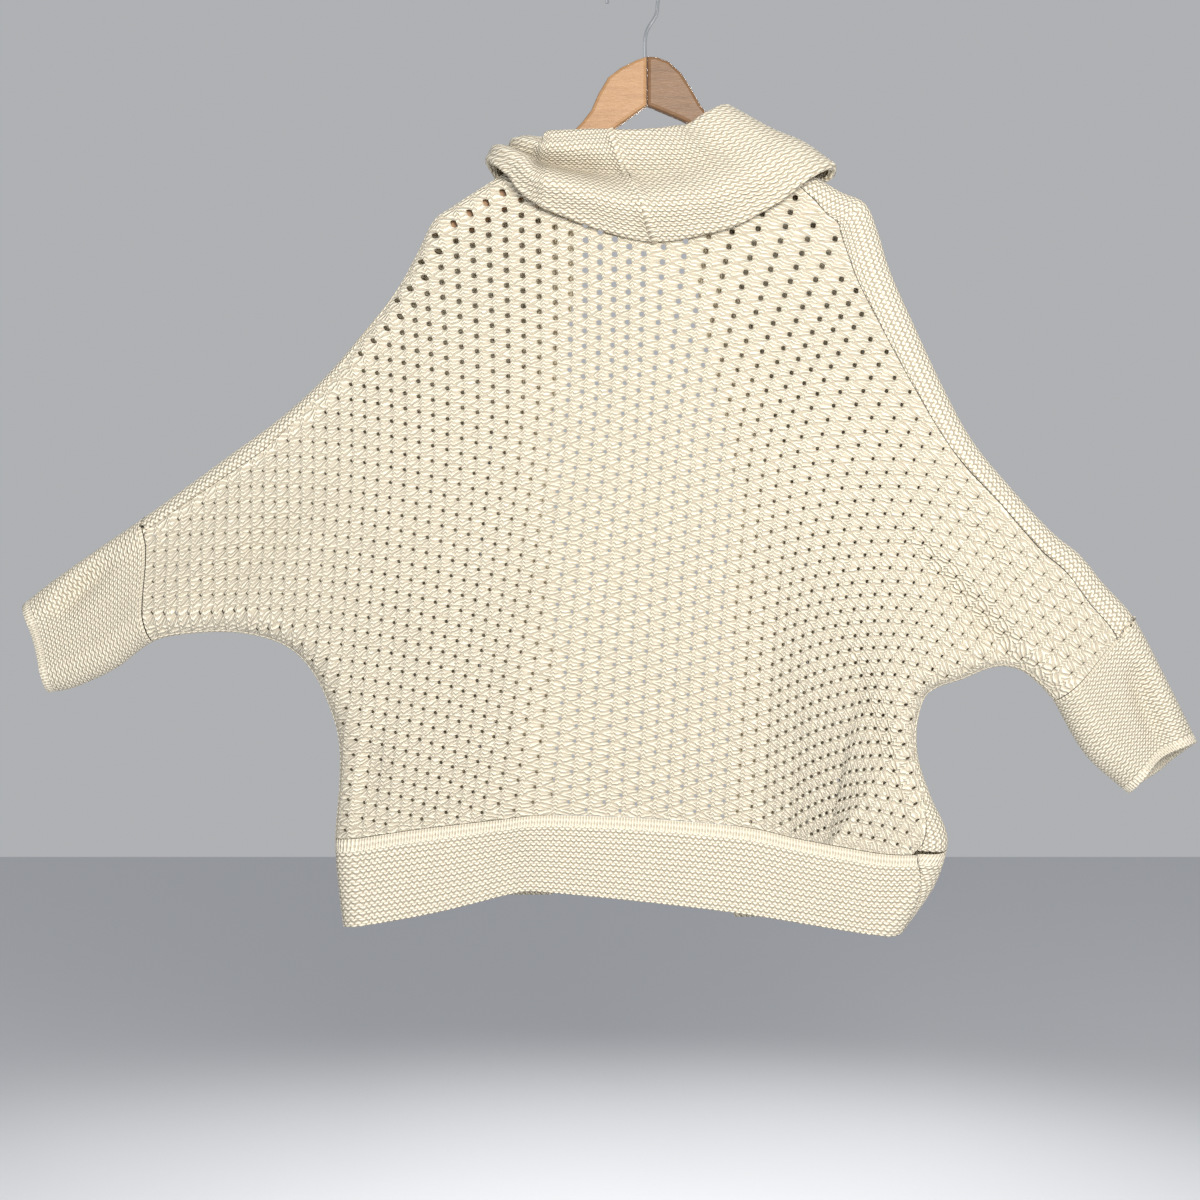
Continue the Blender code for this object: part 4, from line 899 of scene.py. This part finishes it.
# ---- shawl collar and front bands
# at, stand, lean, roll, turn, fall, crease, bulge, slide at the fold, slide at the end
collars = {
    "left": [
        (0.00, .050, 4, .0060, 180, .104, .004, .009, -.020, .018),
        (0.30, .048, 4, .0060, 180, .088, .009, .010, -.012, .008),
        (0.60, .044, 6, .0065, 176, .066, .010, .008, -.006, -.008),
        (0.85, .036, 14, .0065, 168, .044, .006, .004, 0, 0),
        (1.00, .022, 36, .0065, 144, .034, .003, .003, 0, 0),
        (1.08, .040, 20, .0065, 160, .052, 0, .002, 0, 0),
        (1.22, .042, 8, .0060, 172, .066, 0, .003, 0, 0),
        (1.38, .050, 8, .0070, 160, .046, 0, .002, 0, 0),
        (1.50, .056, 6, .0120, 60, .008, 0, 0, 0, 0),
        (1.60, .060, 2, .0120, 6, .009, 0, 0, 0, 0),
        (2.00, .060, 0, .0120, 0, .009, 0, 0, 0, 0)],
    "right": [
        (0.00, .050, 4, .0060, 180, .104, .004, .009, -.020, .018),
        (0.30, .046, 4, .0065, 178, .104, .003, .008, -.010, .014),
        (0.60, .040, 6, .0065, 176, .106, .002, .006, -.004, .006),
        (0.85, .030, 14, .0060, 166, .112, 0, .003, 0, 0),
        (1.00, .020, 30, .0060, 150, .120, 0, .002, 0, 0),
        (1.08, .028, 20, .0060, 160, .112, 0, .002, 0, 0),
        (1.22, .038, 8, .0060, 172, .092, 0, .004, 0, 0),
        (1.40, .048, 8, .0070, 160, .056, 0, .002, 0, 0),
        (1.54, .056, 6, .0120, 60, .008, 0, 0, 0, 0),
        (1.64, .060, 2, .0120, 6, .009, 0, 0, 0, 0),
        (2.00, .060, 0, .0120, 0, .009, 0, 0, 0, 0)],
}


seamRidge = {"height": 0.0040, "reach": 0.0050}


def unit(rows):
    return rows / np.linalg.norm(rows, axis=1)[:, None]


def soften(rows, times):
    for _ in range(times):
        rows[1:-1] = unit(0.25 * rows[:-2] + 0.5 * rows[1:-1] + 0.25 * rows[2:])
    return rows


def collarSection(stand, lean, roll, turn, fall, crease, bulge, slideFold, slideEnd):
    """Across the seam, above the cloth and along the seam, at close steps."""
    lean, turn = math.radians(lean), math.radians(turn)
    half = 0.5 * garment["wall"]
    points = [(0.00025, -half), (0.004, -half)]
    slide = [0.0, 0.0]
    way = np.array([math.cos(lean), math.sin(lean)])
    begin = np.array(points[1])
    for share in np.linspace(0, 1, 15)[1:]:
        points.append(begin + way * (stand - 0.004) * share)
        slide.append(slideFold * share)
    centre = points[-1] + roll * np.array([-way[1], way[0]])
    for share in np.linspace(0, 1, 11)[1:]:
        angle = lean + turn * share
        points.append(centre + roll * np.array([math.sin(angle), -math.cos(angle)]))
        slide.append(slideFold)
    start = points[-1]
    way = np.array([math.cos(lean + turn), math.sin(lean + turn)])
    face = np.array([way[1], -way[0]])
    for share in np.linspace(0, 1, 34)[1:]:
        swell = 1.8 * bulge * math.exp(-(((share - 0.70) / 0.20) ** 2))
        swell += 0.5 * crease * math.exp(-(((share - 0.14) / 0.08) ** 2))
        swell -= 1.25 * crease * math.exp(-(((share - 0.36) / 0.10) ** 2)) * min(1, share * 8)
        points.append(start + way * fall * share + face * swell)
        slide.append(slideFold + (slideEnd - slideFold) * share)
    edge, turned = points[-1] - points[-2], 0.0030
    edge = edge / np.linalg.norm(edge)
    hub = points[-1] - turned * np.array([edge[1], -edge[0]])
    for angle in np.radians(np.linspace(0, 230, 9)[1:]):
        points.append(hub + turned * (np.array([edge[1], -edge[0]]) * math.cos(angle) + edge * math.sin(angle)))
        slide.append(slideEnd)
    return np.array(points), np.array(slide)


def makeCollar(name):
    sense = 1.0 if name == "left" else -1.0
    neck = lines["neck"][:: 1 if name == "left" else -1]
    start = flatDrop(0.001)
    centre = wayTo(neck, (0, -.214))
    steps = np.concatenate([[0, 0.3, 0.6], np.arange(1, 44)]) / 43
    neckFlat = atLength(neck, centre + (start - centre) * steps)
    edgeLine = lines["front" + name.capitalize()]
    strip = edgeLine[0] + (neckFlat[-1] - edgeLine[0]) * np.linspace(1, 0, 6)[1:, None]
    hemZ = np.interp(edgeLine[-1][0], lines["hem"][:, 0], lines["hem"][:, 1])
    downTo = wayTo(edgeLine, (edgeLine[-1][0], hemZ))
    frontFlat = atLength(edgeLine, np.linspace(0, downTo, 190)[1:])
    flat = np.vstack([neckFlat, strip, frontFlat])
    side = np.concatenate([np.full(len(neckFlat) + len(strip), back), np.full(len(frontFlat), front)])
    foot = len(neckFlat) + len(strip) - 1
    place = cloth(flat, side)
    along = unit(np.gradient(place, axis=0))
    turned = []
    for shift in ((0.002, 0), (0, 0.002)):
        turned.append(cloth(flat + shift, side) - cloth(flat - np.array(shift), side))
    outer = soften(unit(-side[:, None] * np.cross(turned[0], turned[1])), 8)
    along = soften(along, 6)
    outer = unit(outer - along * (outer * along).sum(1)[:, None])
    inner = sense * np.cross(along, outer)
    along[0], outer[0], inner[0] = (-sense, 0, 0), (0, -1, 0), (0, 0, 1)
    way = wayAlong(place)
    at = np.where(way <= way[foot], way / way[foot], 1 + (way - way[foot]) / (way[-1] - way[foot]))
    table = np.array(collars[name])
    grid, stitches, creaseShade = [], [], []
    for k, here in enumerate(at):
        values = [np.interp(here, table[:, 0], table[:, c]) for c in range(1, table.shape[1])]
        across, slide = collarSection(*values)
        grid.append(place[k] + np.outer(across[:, 0], inner[k]) + np.outer(across[:, 1], outer[k])
                    + np.outer(slide, -sense * along[k]))
        # painted shade: darker along the crease of the fall, the more so where the crease is deeper
        fallShare = (np.arange(len(across)) - 26) / 34
        creaseShade.append(1 - values[5] / 0.016 * np.exp(-(((fallShare - 0.37) / 0.13) ** 2)))
        acrossWay = wayAlong(across)
        stitches.append(np.stack([np.full(len(across), way[k] / band["stitchWidth"]),
                                  acrossWay / band["rowHeight"]], axis=1))
    # painted shade: the whole collar is made a tenth darker, as it stands bright in the key light
    points, stitches, shade = np.array(grid), np.array(stitches), 0.90 * np.array(creaseShade)
    # the centre-back seam stands up as a ridge
    fallOut = np.cross(points[1:, 1:] - points[:-1, :-1], points[1:, :-1] - points[:-1, 1:])
    fallOut = unit(fallOut[:8].mean(0)) * np.sign(-fallOut[:8, 30:, 1].sum())
    ridge = seamRidge["height"] * np.exp(-((way[:8] / seamRidge["reach"]) ** 2))
    points[:8, 26:-9] += ridge[:, None, None] * fallOut[None, 25:-9]
    points[0, :, 0] -= sense * 0.0002
    normals = np.cross(points[1:, 1:] - points[:-1, :-1], points[1:, :-1] - points[:-1, 1:])
    if normals[int(len(normals) * 0.92):, :, 1].sum() < 0:
        points, stitches, shade = points[::-1], stitches[::-1], shade[::-1]
    piece = finishPurl("collar" + name.capitalize(), points, stitches, "collar_" + name, turn=False,
                       shade=shade)
    piece.modifiers["thickness"].offset = 0.0
    return piece


for name in collars:
    makeCollar(name)
print("collar ready")

# ---- the size of each cut piece of cloth is printed
for piece, width, length, area in sheets:
    area = min(area, 0.98 * width * length)
    print(f"{piece.name} is cut {1000 * width:.0f} x {1000 * length:.0f} mm, {area:.3f} square metres")

# ---- floor, light and camera
stage = {"floor": -1.5, "worldColour": (0.84, 0.86, 0.89), "worldStrength": 0.51}
bpy.ops.mesh.primitive_plane_add(size=7, location=(0, 0.6, stage["floor"]))
floor = bpy.context.object
floor.name = "floor"
floorMaterial = Nodes("floorPale")
floorMaterial.shader.inputs["Base Color"].default_value = (0.66, 0.67, 0.70, 1)
floorMaterial.shader.inputs["Roughness"].default_value = 0.9
floor.data.materials.append(floorMaterial.material)

world = bpy.data.worlds.new("studio")
bpy.context.scene.world = world
world.use_nodes = True
background = world.node_tree.nodes["Background"]
background.inputs[0].default_value = (*stage["worldColour"], 1)
background.inputs[1].default_value = stage["worldStrength"]

lights = [
    ("key", (0.30, -1.80, -0.10), 0.7, 46, (1.0, 0.98, 0.94)),
    ("fill", (-1.6, -1.8, -0.2), 2.0, 7, (0.96, 0.98, 1.0)),
    ("behind", (0.2, 1.9, 0.3), 0.9, 27, (1.0, 0.99, 0.96)),
]
for name, place, size, power, colour in lights:
    lamp = bpy.data.lights.new(name, "AREA")
    lamp.size = size
    lamp.energy = power
    lamp.color = colour
    lamp.spread = math.radians(110 if name == "behind" else 180)
    item = bpy.data.objects.new(name, lamp)
    item.location = place
    aim = np.array((0.0, 0.0, -0.55)) - np.array(place)
    item.rotation_euler = (math.atan2(math.hypot(aim[0], aim[1]), -aim[2]), 0, math.atan2(aim[1], aim[0]) - math.pi / 2)
    bpy.context.scene.collection.objects.link(item)

camera = bpy.data.objects.new("camera", bpy.data.cameras.new("camera"))
camera.location = (-0.0325, -1.70, -0.6236)
camera.rotation_euler = (math.pi / 2, 0, 0)
camera.data.sensor_width = 36
camera.data.lens = 51
bpy.context.scene.collection.objects.link(camera)
bpy.context.scene.camera = camera
bpy.context.scene.view_settings.view_transform = "Standard"
print("stage ready")
